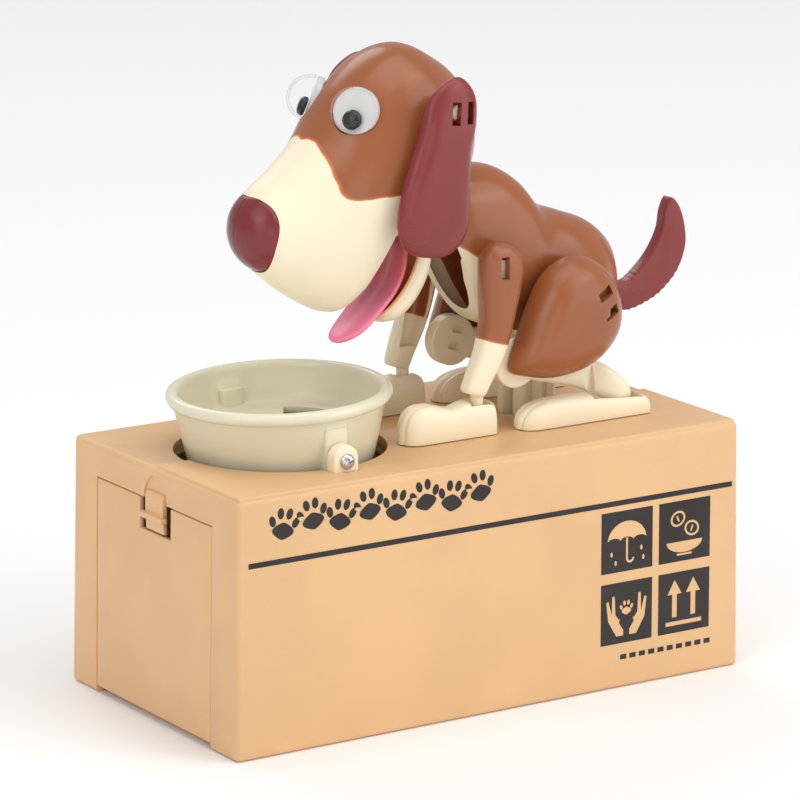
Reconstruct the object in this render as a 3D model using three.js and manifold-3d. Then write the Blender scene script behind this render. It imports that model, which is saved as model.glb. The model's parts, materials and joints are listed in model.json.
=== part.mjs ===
// A battery coin bank: a toy hound stands on a carton-shaped money box and lowers its head into a bowl.
// Millimetres. +X runs from the bowl to the tail, -Y is the printed front, +Z is up.
// The origin is the centre of the box's underside.

import * as THREE from 'three';
import { mergeVertices } from 'three/addons/utils/BufferGeometryUtils.js';
import Module from 'manifold-3d';

const wasm = await Module();
wasm.setup();

// ---- driving dimensions ----

const BOX = { length: 165, width: 87.9, height: 70.5, draft: 1, wall: 2.2, flapRise: 0.8 };
const GAP = 0.3; // between pieces that rest on each other
const TOP = BOX.height - BOX.wall; // underside of the box's top wall
const FLAP = BOX.height + BOX.flapRise;
const BASE = { thickness: 2.4, halfLength: 79.3, halfWidth: 41.3 };
const DOOR = { halfWidth: 30, low: 2, high: 61, inner: -80.2, tabHalf: 6.2, tabY: -0.9 };
const BOWL = { rim: 30.8, roll: 1.8, rimHeight: 12, floor: 3, skirt: -8, wall: 1.8, restTilt: 2 };
const HOLE = 29.1; // the opening in the box top that the bowl hangs in
const CELL = { radius: 7.1, halfLength: 25.25, z: 10.4, centres: [55.2, 70.2] }; // AA
const MODULE = 1; // gear tooth size

// Pivot axes run along Y. Each is its [x, z].
const PIVOT = {
  ankle: [10.1, 80.2],
  shoulder: [16.5, 117.1],
  hip: [46.2, 105.9],
  knee: [24, 89.5],
  heel: [58.5, 75.5],
  neck: [-2, 142],
  jaw: [0.5, 128],
  ear: [-1.5, 162.7],
  bowl: [-41.7, 74],
  door: [-81.2, 3.4],
  arm: [39.5, 60],
  armPin: [38, 108],
  trigger: [-8.4, 62],
};
const GEAR = { crank: [42.9, 34], second: [26.9, 34], first: [14.9, 26.8], motor: [8.6, 39.3] };
const LIMB = { legY: -19.7, pawY: -17.75, thighInner: -18.2, shinY: -15.7, heelY: -20.6 };

const COLOUR = {
  tan: [0xd9ac78, 0.5],
  cream: [0xf2e4c0, 0.35],
  bowl: [0xe4e2cc, 0.3],
  brown: [0x8c5230, 0.3],
  darkRed: [0x72262a, 0.3],
  pink: [0xf5688a, 0.35],
  clear: [0xf4f6f8, 0.05],
  white: [0xf4f2ee, 0.5],
  black: [0x141414, 0.25],
  steel: [0xb8babd, 0.3, 1],
  brass: [0xc8a85a, 0.35, 1],
  gearWhite: [0xe9e7df, 0.45],
  board: [0x2f6b3c, 0.5],
  cell: [0x2c4f8c, 0.4],
};

// ---- shapes ----

// A closed three.js geometry as a solid that can be joined and cut.
function solid(geometry) {
  const bare = new THREE.BufferGeometry();
  bare.setAttribute('position', geometry.getAttribute('position').clone());
  if (geometry.index) bare.setIndex(geometry.index.clone());
  const merged = mergeVertices(bare, 1e-4);
  const index = merged.index.array;
  const triangles = [];
  for (let i = 0; i < index.length; i += 3) {
    const [a, b, c] = index.slice(i, i + 3);
    if (a !== b && b !== c && c !== a) triangles.push(a, b, c);
  }
  return fromMesh(merged.getAttribute('position').array, triangles);
}

function fromMesh(points, triangles) {
  const vertProperties = Float32Array.from(points);
  const triVerts = Uint32Array.from(triangles);
  return new wasm.Manifold(new wasm.Mesh({ numProp: 3, vertProperties, triVerts }));
}

// The same piece on the other side of the object.
function otherSide(piece) {
  const mesh = piece.getMesh();
  const points = mesh.vertProperties.map((value, i) => (i % 3 === 1 ? -value : value));
  const triangles = mesh.triVerts.map((_, i, all) => (i % 3 === 0 ? all[i] : all[i + (i % 3 === 1 ? 1 : -1)]));
  return fromMesh(points, triangles);
}

function join(...pieces) {
  return pieces.reduce((all, piece) => all.add(piece));
}

function cut(piece, ...tools) {
  return tools.reduce((left, tool) => left.subtract(tool), piece);
}

function block(x0, x1, y0, y1, z0, z1) {
  const geometry = new THREE.BoxGeometry(x1 - x0, y1 - y0, z1 - z0);
  return solid(geometry.translate((x0 + x1) / 2, (y0 + y1) / 2, (z0 + z1) / 2));
}

function rodX(y, z, radius, x0, x1, sides = 10) {
  const geometry = new THREE.CylinderGeometry(radius, radius, x1 - x0, sides);
  return solid(geometry.rotateZ(-Math.PI / 2).translate((x0 + x1) / 2, y, z));
}

function rodY([x, z], radius, y0, y1, sides = 14) {
  const geometry = new THREE.CylinderGeometry(radius, radius, y1 - y0, sides);
  return solid(geometry.translate(x, (y0 + y1) / 2, z));
}

function rodZ(x, y, radius, z0, z1, sides = 10) {
  const geometry = new THREE.CylinderGeometry(radius, radius, z1 - z0, sides);
  return solid(geometry.rotateX(Math.PI / 2).translate(x, y, (z0 + z1) / 2));
}

function ellipsoid([x, y, z], [rx, ry, rz], around = 14, down = 8) {
  const geometry = new THREE.SphereGeometry(1, around, down).rotateX(Math.PI / 2);
  return solid(geometry.scale(rx, ry, rz).translate(x, y, z));
}

// A flat piece with an outline in X and Z, between two Y planes, with its edges rounded off by bevel.
function plate(outline, y0, y1, bevel = 0) {
  const shape = new THREE.Shape(outline.map(([x, z]) => new THREE.Vector2(x, z)));
  const geometry = new THREE.ExtrudeGeometry(shape, {
    depth: y1 - y0 - 2 * bevel,
    bevelEnabled: bevel > 0,
    bevelThickness: bevel,
    bevelSize: bevel,
    bevelOffset: -bevel,
    bevelSegments: 2,
  });
  return solid(geometry.rotateX(Math.PI / 2).translate(0, y1 - bevel, 0));
}

// A smooth closed outline through a few [x, z] points.
function smooth(points, steps) {
  return along(points, steps, true).slice(0, -1);
}

// A smooth line through a few [x, z] points, from the first to the last.
function along(points, steps, closed = false) {
  const curve = new THREE.CatmullRomCurve3(points.map(([x, z]) => new THREE.Vector3(x, z, 0)), closed);
  return curve.getPoints(steps).map((p) => [p.x, p.y]);
}

// Rings of points as a closed surface, with a point in the middle of each end ring.
function skin(rings) {
  const count = rings[0].length;
  const points = rings.flat();
  const triangles = [];
  for (let i = 0; i + 1 < rings.length; i += 1) {
    for (let j = 0; j < count; j += 1) {
      const [a, b] = [i * count + j, i * count + ((j + 1) % count)];
      triangles.push(a, b, a + count, b, b + count, a + count);
    }
  }
  const last = (rings.length - 1) * count;
  const [low, high] = [rings[0], rings.at(-1)].map((ring) => middle(ring));
  points.push(low, high);
  for (let j = 0; j < count; j += 1) {
    const next = (j + 1) % count;
    triangles.push(points.length - 2, next, j);
    triangles.push(points.length - 1, last + j, last + next);
  }
  const volume = triangles.reduce((sum, _, i) => (i % 3 ? sum : sum + corner(points, triangles, i)), 0);
  if (volume < 0) triangles.reverse();
  return fromMesh(points.flatMap((p) => p.toArray()), triangles);
}

function middle(ring) {
  return ring.reduce((sum, p) => sum.add(p), new THREE.Vector3()).divideScalar(ring.length);
}

function corner(points, triangles, i) {
  const [a, b, c] = [0, 1, 2].map((k) => points[triangles[i + k]]);
  return a.dot(b.clone().cross(c));
}

// A smooth body through sections. Each is [x, y, z, tilt in degrees, half height, half width]:
// its height lies in the XZ plane at that tilt from +X, and its width lies along Y.
function loft(sections, { around = 14, fine = 1 } = {}) {
  const place = new THREE.CatmullRomCurve3(sections.map((s) => new THREE.Vector3(s[0], s[1], s[2])));
  const form = new THREE.CatmullRomCurve3(sections.map((s) => new THREE.Vector3(s[3], s[4], s[5])));
  const steps = (sections.length - 1) * fine;
  const rings = [];
  for (let i = 0; i <= steps; i += 1) {
    const centre = place.getPoint(i / steps);
    const { x: tilt, y: high, z: wide } = form.getPoint(i / steps);
    const up = new THREE.Vector3(1, 0, 0).applyAxisAngle(new THREE.Vector3(0, -1, 0), (tilt * Math.PI) / 180);
    rings.push(
      Array.from({ length: around }, (_, j) => {
        const turn = (2 * Math.PI * j) / around;
        const sideways = new THREE.Vector3(0, wide * Math.sin(turn), 0);
        return centre.clone().addScaledVector(up, high * Math.cos(turn)).add(sideways);
      }),
    );
  }
  return skin(rings);
}

// The space inside a loft, a wall's thickness in from its surface.
function inside(sections, wall) {
  const [first, last] = [sections[0], sections.at(-1)];
  const centre = [0, 1, 2].map((k) => (first[k] + last[k]) / 2);
  const length = Math.hypot(first[0] - last[0], first[2] - last[2]);
  const keep = 1 - (2 * wall) / length;
  return sections.map(([x, y, z, tilt, high, wide]) => [
    centre[0] + (x - centre[0]) * keep,
    centre[1] + (y - centre[1]) * keep,
    centre[2] + (z - centre[2]) * keep,
    tilt,
    Math.max(high - wall, 0.8),
    Math.max(wide - wall, 0.8),
  ]);
}

// An outline stacked up along Y in layers. Each layer is [y, scale about the centre].
function stack(outline, [cx, cz], layers) {
  return skin(
    layers.map(([y, scale]) => {
      return outline.map(([x, z]) => new THREE.Vector3(cx + (x - cx) * scale, y, cz + (z - cz) * scale));
    }),
  );
}

// Layers of a slab from y0 to y1 with its edges eased.
function easedLayers(y0, y1) {
  return [[y0, 0.94], [y0 + 0.7, 0.985], [y0 + 2, 1], [y1 - 2, 1], [y1 - 0.7, 0.985], [y1, 0.94]];
}

// Layers of a dome from its flat face at y0 out to y1.
function domeLayers(y0, y1, rings) {
  return Array.from({ length: rings }, (_, i) => {
    const turn = (i / rings) * (Math.PI / 2);
    return [y0 + (y1 - y0) * Math.sin(turn), Math.cos(turn) ** 0.8];
  });
}

function half(piece, side) {
  const [y0, y1] = side < 0 ? [-60, -GAP / 2] : [GAP / 2, 60];
  return piece.intersect(block(-120, 120, y0, y1, -20, 220));
}

// ---- the assembly ----

const hound = new THREE.Group();

function add(name, piece, [colour, roughness, metalness = 0]) {
  const mesh = piece.getMesh();
  const geometry = new THREE.BufferGeometry();
  geometry.setAttribute('position', new THREE.BufferAttribute(mesh.vertProperties, 3));
  geometry.setIndex(new THREE.BufferAttribute(mesh.triVerts, 1));
  geometry.computeVertexNormals();
  const material = new THREE.MeshStandardMaterial({ color: colour, roughness, metalness });
  const node = new THREE.Mesh(geometry, material);
  node.name = name;
  hound.add(node);
  return node;
}

// Adds the right-hand piece and its mirror image.
function addPair(name, right, colour) {
  add(`${name}_right`, right, colour);
  add(`${name}_left`, otherSide(right), colour);
}

// A box that narrows towards its top by draft on each side.
function drafted(halfLength, halfWidth, z0, z1, draft) {
  const geometry = new THREE.BoxGeometry(2 * halfLength, 2 * halfWidth, z1 - z0);
  const position = geometry.getAttribute('position');
  for (let i = 0; i < position.count; i += 1) {
    if (position.getZ(i) > 0) {
      position.setX(i, position.getX(i) * (1 - draft / halfLength));
      position.setY(i, position.getY(i) * (1 - draft / halfWidth));
    }
  }
  return solid(geometry.translate(0, 0, (z0 + z1) / 2));
}

function screw(y, x, headRadius, headLow, headHigh, shankRadius, tip) {
  return join(rodZ(x, y, headRadius, headLow, headHigh), rodZ(x, y, shankRadius, headHigh - 0.2, tip));
}

// ---- money box ----

const BOX_OUTER = drafted(BOX.length / 2, BOX.width / 2, 0, BOX.height, BOX.draft);
const SCREW_POSTS = [[-74, -36], [-74, 36], [74, -36], [74, 36]];
const LUG = { half: 3.8, inner: 29.3, outer: 33.3, top: 4.3 };

function housingShell() {
  const wall = BOX.wall;
  const hollow = drafted(BOX.length / 2 - wall, BOX.width / 2 - wall, -0.01, TOP, BOX.draft);
  const flap = block(-80.6, 80.6, -42.4, 0, BOX.height - 0.5, FLAP);
  const posts = SCREW_POSTS.map(([x, y]) => rodZ(x, y, 3.2, BASE.thickness + 0.4, TOP + 0.5));
  const postHoles = SCREW_POSTS.map(([x, y]) => rodZ(x, y, 1.5, 0, 12));
  const [bowlX] = PIVOT.bowl;
  const doorwayHalf = DOOR.halfWidth + GAP;
  const doorway = block(-90, -79, -doorwayHalf, doorwayHalf, -1, DOOR.high + 0.4);
  const fingerRecess = rodX(DOOR.tabY, DOOR.high, 6.6, -90, -80.9, 24);
  const slotHalf = [LUG.half + GAP, LUG.outer + 0.4];
  const lugSlot = block(bowlX - slotHalf[0], bowlX + slotHalf[0], -slotHalf[1], slotHalf[1], TOP - 1, 80);
  const pedestalSlot = block(29.2, 46.4, -4.8, 4.8, TOP - 1, 80);
  return cut(
    join(BOX_OUTER.subtract(hollow), flap, ...posts),
    ...postHoles,
    doorway,
    fingerRecess,
    rodZ(bowlX, 0, HOLE, TOP - 1, 80, 36),
    lugSlot,
    pedestalSlot,
    rodY(PIVOT.door, 1.5, -DOOR.halfWidth - 2, DOOR.halfWidth + 2),
  );
}

const BAY = { x0: 46, x1: 79, y: 28.8, z: 19.6, wall: 1.4 };

function basePlate() {
  const { halfLength, halfWidth, thickness } = BASE;
  const plateBody = block(-halfLength, halfLength, -halfWidth, halfWidth, 0, thickness);
  const bay = block(BAY.x0, BAY.x1, -BAY.y, BAY.y, 0, BAY.z);
  const bayHollow = block(
    BAY.x0 + BAY.wall, BAY.x1 - BAY.wall, -BAY.y + BAY.wall, BAY.y - BAY.wall, -1, BAY.z - BAY.wall,
  );
  const partition = block(-6, -4.4, -40.2, 40.2, 1, TOP - 0.4);
  const leverSlot = block(-7, -3, 20.2, 23.8, 54, 66);
  const coverBoss = block(39, 46.5, -5, 5, 1, 6);
  const screwHoles = SCREW_POSTS.map(([x, y]) => join(rodZ(x, y, 3, -1, 1.6), rodZ(x, y, 1.6, -1, 4)));
  return cut(
    join(plateBody, bay, partition.subtract(leverSlot), coverBoss, triggerBracket()),
    bayHollow,
    block(39.6, 47.5, -4.8, 4.8, -1, 1.9),
    rodZ(43.4, 0, 1.3, -1, 5.4),
    ...screwHoles,
  );
}

function batteryCover() {
  const panel = block(47.7, 77.3, -27.1, 27.1, 0, 1.6);
  const tab = block(40, 48, -4.5, 4.5, 0, 1.6);
  const finger = block(70, 74, -8, 8, -1, 0.8);
  return cut(join(panel, tab), rodZ(43.4, 0, 2.5, -1, 0.9), rodZ(43.4, 0, 1.4, -1, 4), finger);
}

function coinDoor() {
  const { inner: back, halfWidth, low, high } = DOOR;
  const panel = BOX_OUTER.intersect(block(-90, back, -halfWidth, halfWidth, low, high));
  const notch = block(-90, -79, DOOR.tabY - 8, DOOR.tabY + 8, 52.4, 62);
  const { tabY, tabHalf } = DOOR;
  const tab = join(
    block(-81.7, DOOR.inner - 0.4, tabY - tabHalf, tabY + tabHalf, 51, 60.8),
    block(-83.6, -81.5, tabY - tabHalf, tabY + tabHalf, 56.6, 58),
    block(-82, -81.2, tabY - 4.6, tabY + 4.6, 58, 64),
  );
  const pins = [-1, 1].map((side) => {
    const [inner, outer] = [DOOR.halfWidth - 2, DOOR.halfWidth + 1.6];
    return rodY(PIVOT.door, 1.15, Math.min(side * inner, side * outer), Math.max(side * inner, side * outer));
  });
  return join(cut(panel, notch), tab, ...pins);
}

add('housing_shell', housingShell(), COLOUR.tan);
add('base_plate', basePlate(), COLOUR.tan);
add('battery_cover', batteryCover(), COLOUR.tan);
add('battery_cover_screw', screw(0, 43.4, 2.1, 0.05, 0.8, 1, 5), COLOUR.steel);
add('coin_door', coinDoor(), COLOUR.tan);
SCREW_POSTS.forEach(([x, y], i) => {
  add(`base_screw_${i + 1}`, screw(y, x, 2.6, 0.2, 1.4, 1.2, 10), COLOUR.steel);
});

// ---- bowl ----

function lathe(profile, sides) {
  const geometry = new THREE.LatheGeometry(profile.map(([r, z]) => new THREE.Vector2(r, z)), sides);
  return solid(geometry.rotateX(Math.PI / 2));
}

// The bowl about its own pivot. Its false floor is high, and the wall goes on below it as a skirt.
function bowlBody() {
  const { rim, roll, rimHeight, floor, skirt, wall } = BOWL;
  const lip = rim - roll;
  const rollArc = Array.from({ length: 5 }, (_, i) => {
    const turn = -0.35 * Math.PI + (i / 4) * 1.35 * Math.PI;
    return [lip + roll * Math.cos(turn), rimHeight + roll * Math.sin(turn)];
  });
  const skirtRadius = 24.8;
  const outside = [[0, skirt], [skirtRadius, skirt], [lip + 0.2, rimHeight - roll], ...rollArc];
  const profile = [...outside, [lip - 2.6, floor + 2.2], [lip - 4.6, floor], [0, floor]];
  const underRadius = skirtRadius - wall;
  const ceiling = floor - wall;
  const under = lathe([[0, skirt - 1], [underRadius, skirt - 1], [underRadius + 1.6, ceiling], [0, ceiling]], 28);
  const pads = block(-3.4, 3.4, -28.9, 28.9, skirt + 1, 8).subtract(block(-4, 4, -24, 24, -20, 20));
  const sector = Array.from({ length: 6 }, (_, i) => ((i / 5 - 0.5) * 110 * Math.PI) / 180);
  const port = new THREE.Shape([
    ...sector.map((turn) => new THREE.Vector2(18.8 * Math.cos(turn), 18.8 * Math.sin(turn))),
    new THREE.Vector2(5, 6.5),
    new THREE.Vector2(5, -6.5),
  ]);
  const portHole = solid(new THREE.ExtrudeGeometry(port, { depth: 8, bevelEnabled: false }));
  const screwBore = rodY([0, 0], 1.35, -35, 35).subtract(block(-5, 5, -23, 23, -5, 5));
  return cut(join(cut(lathe(profile, 28), under), pads), portHole, screwBore);
}

const bowlNode = add('bowl', bowlBody(), COLOUR.bowl);
bowlNode.position.set(PIVOT.bowl[0], 0, PIVOT.bowl[1]);
bowlNode.rotation.y = (-BOWL.restTilt * Math.PI) / 180;

function bowlCradle() {
  const [x, z] = PIVOT.bowl;
  const ring = cut(rodZ(x, 0, 33.6, 66, TOP - GAP, 28), rodZ(x, 0, 29.6, 61, 70, 28));
  const lug = join(
    block(x - LUG.half, x + LUG.half, -LUG.outer, -LUG.inner, 66.2, z + LUG.top - LUG.half),
    rodY([x, z + LUG.top - LUG.half], LUG.half, -LUG.outer, -LUG.inner, 20),
  );
  return cut(join(ring, lug, otherSide(lug)), rodY(PIVOT.bowl, 1.45, -40, 40));
}

function bowlScrew() {
  return join(rodY(PIVOT.bowl, 2.1, -34.9, -33.6), rodY(PIVOT.bowl, 1.1, -33.7, -25));
}

add('bowl_cradle', bowlCradle(), COLOUR.cream);
add('bowl_screw_front', bowlScrew(), COLOUR.steel);
add('bowl_screw_rear', otherSide(bowlScrew()), COLOUR.steel);

// ---- coin switch ----

function triggerLever() {
  const [x, z] = PIVOT.trigger;
  const arm = block(-21, x + 1, 20.8, 23.2, z + 1.6, z + 3.4);
  const tail = block(x - 1, x + 7.2, 20.8, 23.2, z - 3.4, z - 1.4);
  const hub = rodY(PIVOT.trigger, 3.6, 20.8, 23.2);
  return cut(join(arm, tail, hub), rodY(PIVOT.trigger, 1.3, 15, 30));
}

function triggerBracket() {
  const [x, z] = PIVOT.trigger;
  const cheeks = [18, 24.4].map((y) => block(x - 1.6, -5.9, y, y + 1.6, z - 3, z + 2.2));
  return join(...cheeks, rodY(PIVOT.trigger, 1, 18.2, 25.8));
}

function circuitBoard() {
  const board = block(-3.8, -2.2, 12, 39, 30, 54);
  const microswitch = block(-2.6, 3, 18, 26, 44, 53);
  const chip = block(-2.6, -0.8, 28, 36, 36, 44);
  const button = rodX(22, 55.8, 0.8, -1.6, 0.4).add(block(-1.4, 0.2, 21.4, 22.6, 52.5, 56));
  return join(board, microswitch, chip, button);
}

add('trigger_lever', triggerLever(), COLOUR.gearWhite);
add('circuit_board', circuitBoard(), COLOUR.board);

// ---- batteries ----

function batteryCell(x, nubSide) {
  const end = nubSide * CELL.halfLength;
  const nub = 1.5;
  const [low, high] = [-CELL.halfLength + (nubSide < 0 ? nub : 0), CELL.halfLength - (nubSide > 0 ? nub : 0)];
  const [nubLow, nubHigh] = [end, end - nubSide * 2].sort((a, b) => a - b);
  return join(rodY([x, CELL.z], CELL.radius, low, high, 28), rodY([x, CELL.z], 2.7, nubLow, nubHigh));
}

// A coil spring that stands on a Y plane, from y0 to y1.
function contactSpring(x, y0, y1) {
  class Helix extends THREE.Curve {
    getPoint(t) {
      const turn = t * 2.5 * 2 * Math.PI;
      const radius = 3.4 - 1.2 * t;
      return new THREE.Vector3(x + radius * Math.cos(turn), y1 + (y0 - y1) * t, CELL.z + radius * Math.sin(turn));
    }
  }
  const wire = new THREE.Shape(Array.from({ length: 4 }, (_, i) => {
    return new THREE.Vector2(0.25 * Math.cos((i * Math.PI) / 2), 0.25 * Math.sin((i * Math.PI) / 2));
  }));
  return solid(new THREE.ExtrudeGeometry(wire, { steps: 24, extrudePath: new Helix(), bevelEnabled: false }));
}

CELL.centres.forEach((x, i) => add(`battery_${i + 1}`, batteryCell(x, i ? -1 : 1), COLOUR.cell));
add('contact_bridge', block(49, 76.4, -27.1, -26.6, 4, 16.8), COLOUR.steel);
add('contact_spring_1', contactSpring(CELL.centres[0], -25.6, -26.2), COLOUR.steel);
add('contact_spring_2', contactSpring(CELL.centres[1], 25.6, 26.9), COLOUR.steel);

// ---- drive train ----

// Teeth as an outline. The first tooth points along phase.
function gearOutline(teeth, phase) {
  const pitch = (MODULE * teeth) / 2;
  const step = (2 * Math.PI) / teeth;
  const profile = [[-0.3, -1.15], [-0.1, 0.85], [0.1, 0.85], [0.3, -1.15]];
  return Array.from({ length: teeth }, (_, i) => i).flatMap((i) => {
    return profile.map(([across, out]) => {
      const turn = phase + (i + across) * step;
      const radius = pitch + out * MODULE;
      return new THREE.Vector2(radius * Math.cos(turn), radius * Math.sin(turn));
    });
  });
}

function toothed([x, z], teeth, phase, y0, y1) {
  const shape = new THREE.Shape(gearOutline(teeth, phase));
  const geometry = new THREE.ExtrudeGeometry(shape, { depth: y1 - y0, bevelEnabled: false });
  return solid(geometry.rotateX(Math.PI / 2).translate(x, y1, z));
}

function towards([x0, z0], [x1, z1]) {
  return Math.atan2(z1 - z0, x1 - x0);
}

const WHEEL = { crank: 24, big: 20, pinion: 8 };
const HALF_TOOTH = Math.PI / WHEEL.pinion;
const SHAFT = { radius: 1.05, bore: 1.35 };

function crankGear() {
  const [x, z] = GEAR.crank;
  const wheel = toothed(GEAR.crank, WHEEL.crank, towards(GEAR.crank, GEAR.second), -5.5, -2.8);
  const hub = rodY(GEAR.crank, 4.6, -7.4, -5.4);
  const pin = rodY([x - 3.4, z], 1.5, -2.9, -1.9);
  return cut(join(wheel, hub, pin), rodY([x, z], SHAFT.bore, -10, 0));
}

function secondGear() {
  const hub = rodY(GEAR.second, 2.1, -5.4, 4.6);
  const pinion = toothed(GEAR.second, WHEEL.pinion, towards(GEAR.second, GEAR.crank) + HALF_TOOTH, -5.6, -2.6);
  const wheel = toothed(GEAR.second, WHEEL.big, towards(GEAR.second, GEAR.first), 2.2, 4.6);
  return cut(join(hub, pinion, wheel), rodY(GEAR.second, SHAFT.bore, -10, 10));
}

function firstGear() {
  const hub = rodY(GEAR.first, 2.1, -1.5, 4.8);
  const pinion = toothed(GEAR.first, WHEEL.pinion, towards(GEAR.first, GEAR.second) + HALF_TOOTH, 2, 4.8);
  const wheel = toothed(GEAR.first, WHEEL.big, towards(GEAR.first, GEAR.motor), -1.6, 0.8);
  return cut(join(hub, pinion, wheel), rodY(GEAR.first, SHAFT.bore, -10, 10));
}

function motorPinion() {
  const pinion = toothed(GEAR.motor, WHEEL.pinion, towards(GEAR.motor, GEAR.first) + HALF_TOOTH, -1.8, 1);
  return join(pinion, rodY(GEAR.motor, 1, -15, 1.6));
}

function motor() {
  const [x, z] = GEAR.motor;
  const can = rodY(GEAR.motor, 10, -35, -10.2, 32).intersect(block(x - 7.5, x + 7.5, -40, 0, z - 10, z + 10));
  return cut(join(can, rodY(GEAR.motor, 3, -10.3, -9.9)), rodY(GEAR.motor, 1.3, -16, 0));
}

// One side plate of the gearbox, standing on two feet.
function gearboxPlate(y0, y1, shafts) {
  const outline = [
    [-2, 2.8], [6, 2.8], [6, 18], [33, 18], [33, 2.8], [41, 2.8], [41, 21], [58, 21], [58, 65.5], [-2, 65.5],
  ];
  const bores = shafts.map((at) => rodY(at, SHAFT.bore, y0 - 1, y1 + 1));
  return cut(plate(outline, y0, y1), ...bores, rodY(PIVOT.arm, 1.8, y0 - 1, y1 + 1));
}

function gearboxRight() {
  const spacers = [[1.2, 22.6], [1.5, 62.5], [54, 61.5]].map((at) => rodY(at, 1.9, -8.2, 6.1));
  const right = join(gearboxPlate(-9.6, -8, [GEAR.crank, GEAR.second, GEAR.first]), ...spacers);
  return cut(right, rodY(GEAR.motor, 3.6, -12, -6));
}

function driveArm() {
  const [x, z] = PIVOT.arm;
  const [pinX, pinZ] = PIVOT.armPin;
  const upper = plate([[x - 3.4, z], [x + 3.4, z], [pinX + 2.6, pinZ], [pinX - 2.6, pinZ]], -1.5, 1.5);
  const yoke = block(x - 4.6, x + 4.6, -1.5, 1.5, 26.5, z);
  const slot = block(x - 1.9, x + 1.9, -3, 3, 28.5, 39.5);
  const crossPin = join(rodY(PIVOT.armPin, 2.6, -1.5, 1.5), rodY(PIVOT.armPin, 1.5, -5.4, 5.4));
  const ends = join(rodY(PIVOT.arm, 4.8, -2.2, 2.2), crossPin);
  return cut(join(upper, yoke, ends), slot, rodY(PIVOT.arm, 1.8, -5, 5));
}

add('motor', motor(), COLOUR.steel);
add('motor_pinion', motorPinion(), COLOUR.brass);
add('first_gear', firstGear(), COLOUR.gearWhite);
add('second_gear', secondGear(), COLOUR.gearWhite);
add('crank_gear', crankGear(), COLOUR.gearWhite);
add('first_gear_shaft', rodY(GEAR.first, SHAFT.radius, -9.5, 7.9), COLOUR.steel);
add('second_gear_shaft', rodY(GEAR.second, SHAFT.radius, -9.5, 7.9), COLOUR.steel);
add('crank_shaft', rodY(GEAR.crank, SHAFT.radius, -9.5, -2.9), COLOUR.steel);
add('drive_arm_axle', rodY(PIVOT.arm, 1.5, -9.5, 7.9), COLOUR.steel);
add('gearbox_plate_right', gearboxRight(), COLOUR.black);
add('gearbox_plate_left', gearboxPlate(6.4, 8, [GEAR.second, GEAR.first]), COLOUR.black);
add('drive_arm', driveArm(), COLOUR.cream);

// ---- pedestal and paws ----

function pedestal() {
  const flange = block(27, 49, -8, 8, 66.4, TOP - GAP);
  const cheek = block(33, 46, -4.5, -2.6, 66.5, 86);
  return cut(join(flange, cheek, otherSide(cheek)), block(29.5, 45.5, -2.3, 2.3, 60, 70));
}

// Paws stand on the box top, which is lower on its rear half.
function pawFloor(side) {
  return (side < 0 ? FLAP : BOX.height) + GAP;
}

function frontPaw(side) {
  const floor = pawFloor(side);
  const outline = along([
    [-14.4, floor], [-14.8, 76], [-12.5, 80.4], [-7, 81.8], [-1, 80.4], [1.5, 79.8], [5, 80.9], [11, 81],
    [14.4, 79.6],
    [15.4, 75], [15.4, floor],
  ], 20);
  const paw = stack(outline, [0, floor], easedLayers(LIMB.pawY - 4.7, LIMB.pawY + 4.7));
  const pocket = block(6.6, 13.8, LIMB.pawY - 3.4, LIMB.pawY + 2.2, 76.6, 90);
  return cut(paw, pocket);
}

function hindPaw(side) {
  const floor = pawFloor(side);
  const outline = along([
    [21.9, floor], [22.2, 74], [26, 77], [33, 78.8], [45, 78.6], [56, 77.4], [63, 76.8], [65.2, 75.4],
    [65.4, floor],
  ], 20);
  const paw = stack(outline, [44, floor], easedLayers(LIMB.heelY - 4.8, LIMB.heelY + 4.6));
  const pocket = block(45.5, 62.6, LIMB.heelY - 3.5, LIMB.heelY + 5, 72.9, 90);
  return cut(paw, pocket);
}

add('pedestal', pedestal(), COLOUR.cream);
add('front_paw_right', frontPaw(-1), COLOUR.cream);
add('front_paw_left', otherSide(frontPaw(1)), COLOUR.cream);
add('hind_paw_right', hindPaw(-1), COLOUR.cream);
add('hind_paw_left', otherSide(hindPaw(1)), COLOUR.cream);

// ---- legs ----

function frontLeg() {
  const y = LIMB.legY;
  const limb = loft([
    [16.8, y, 124, 0, 2.6, 1.8],
    [16.5, y, 122, 0, 5.6, 3.4],
    [16, y, 117, 0, 7.2, 4.2],
    [15.2, y, 109, 0, 6.6, 4.2],
    [13.4, y, 98, 0, 5, 4],
    [10.6, y + 0.3, 90, 0, 4.5, 3.6],
    [7.9, y + 0.7, 84.4, 0, 3.9, 3.1],
    [7.6, y + 0.7, 83.6, 0, 3, 2.4],
  ]);
  const channel = loft([
    [15, y + 4, 110, 0, 3.6, 5], [13.2, y + 4, 98, 0, 3.2, 5], [10.4, y + 4, 89, 0, 2.6, 4.6],
  ], { around: 10 });
  const stem = rodZ(10, y + 1.3, 1.8, 78.4, 86);
  return cut(join(limb, stem), channel, rodY(PIVOT.shoulder, 3, y - 2, y + 8));
}

function shin() {
  const { shinY, heelY } = LIMB;
  const knee = rodY(PIVOT.knee, 7.2, shinY - 2.1, shinY + 2.1, 28);
  const shank = loft([
    [24, shinY, 89.5, 70, 4, 2], [34, shinY, 87, 70, 4.6, 2.1], [44, shinY - 0.8, 84.4, 68, 4.6, 2.6],
    [51, heelY + 2.3, 81.4, 62, 4.4, 3], [56.4, heelY, 77.6, 50, 3.3, 2.9],
    [58.8, heelY, 75.6, 45, 1.6, 1.6],
  ]);
  const underThigh = block(0, 49, -40, LIMB.thighInner + GAP, 60, 120);
  return cut(join(knee, shank), underThigh, rodY(PIVOT.knee, 2.2, -40, 0));
}

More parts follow.
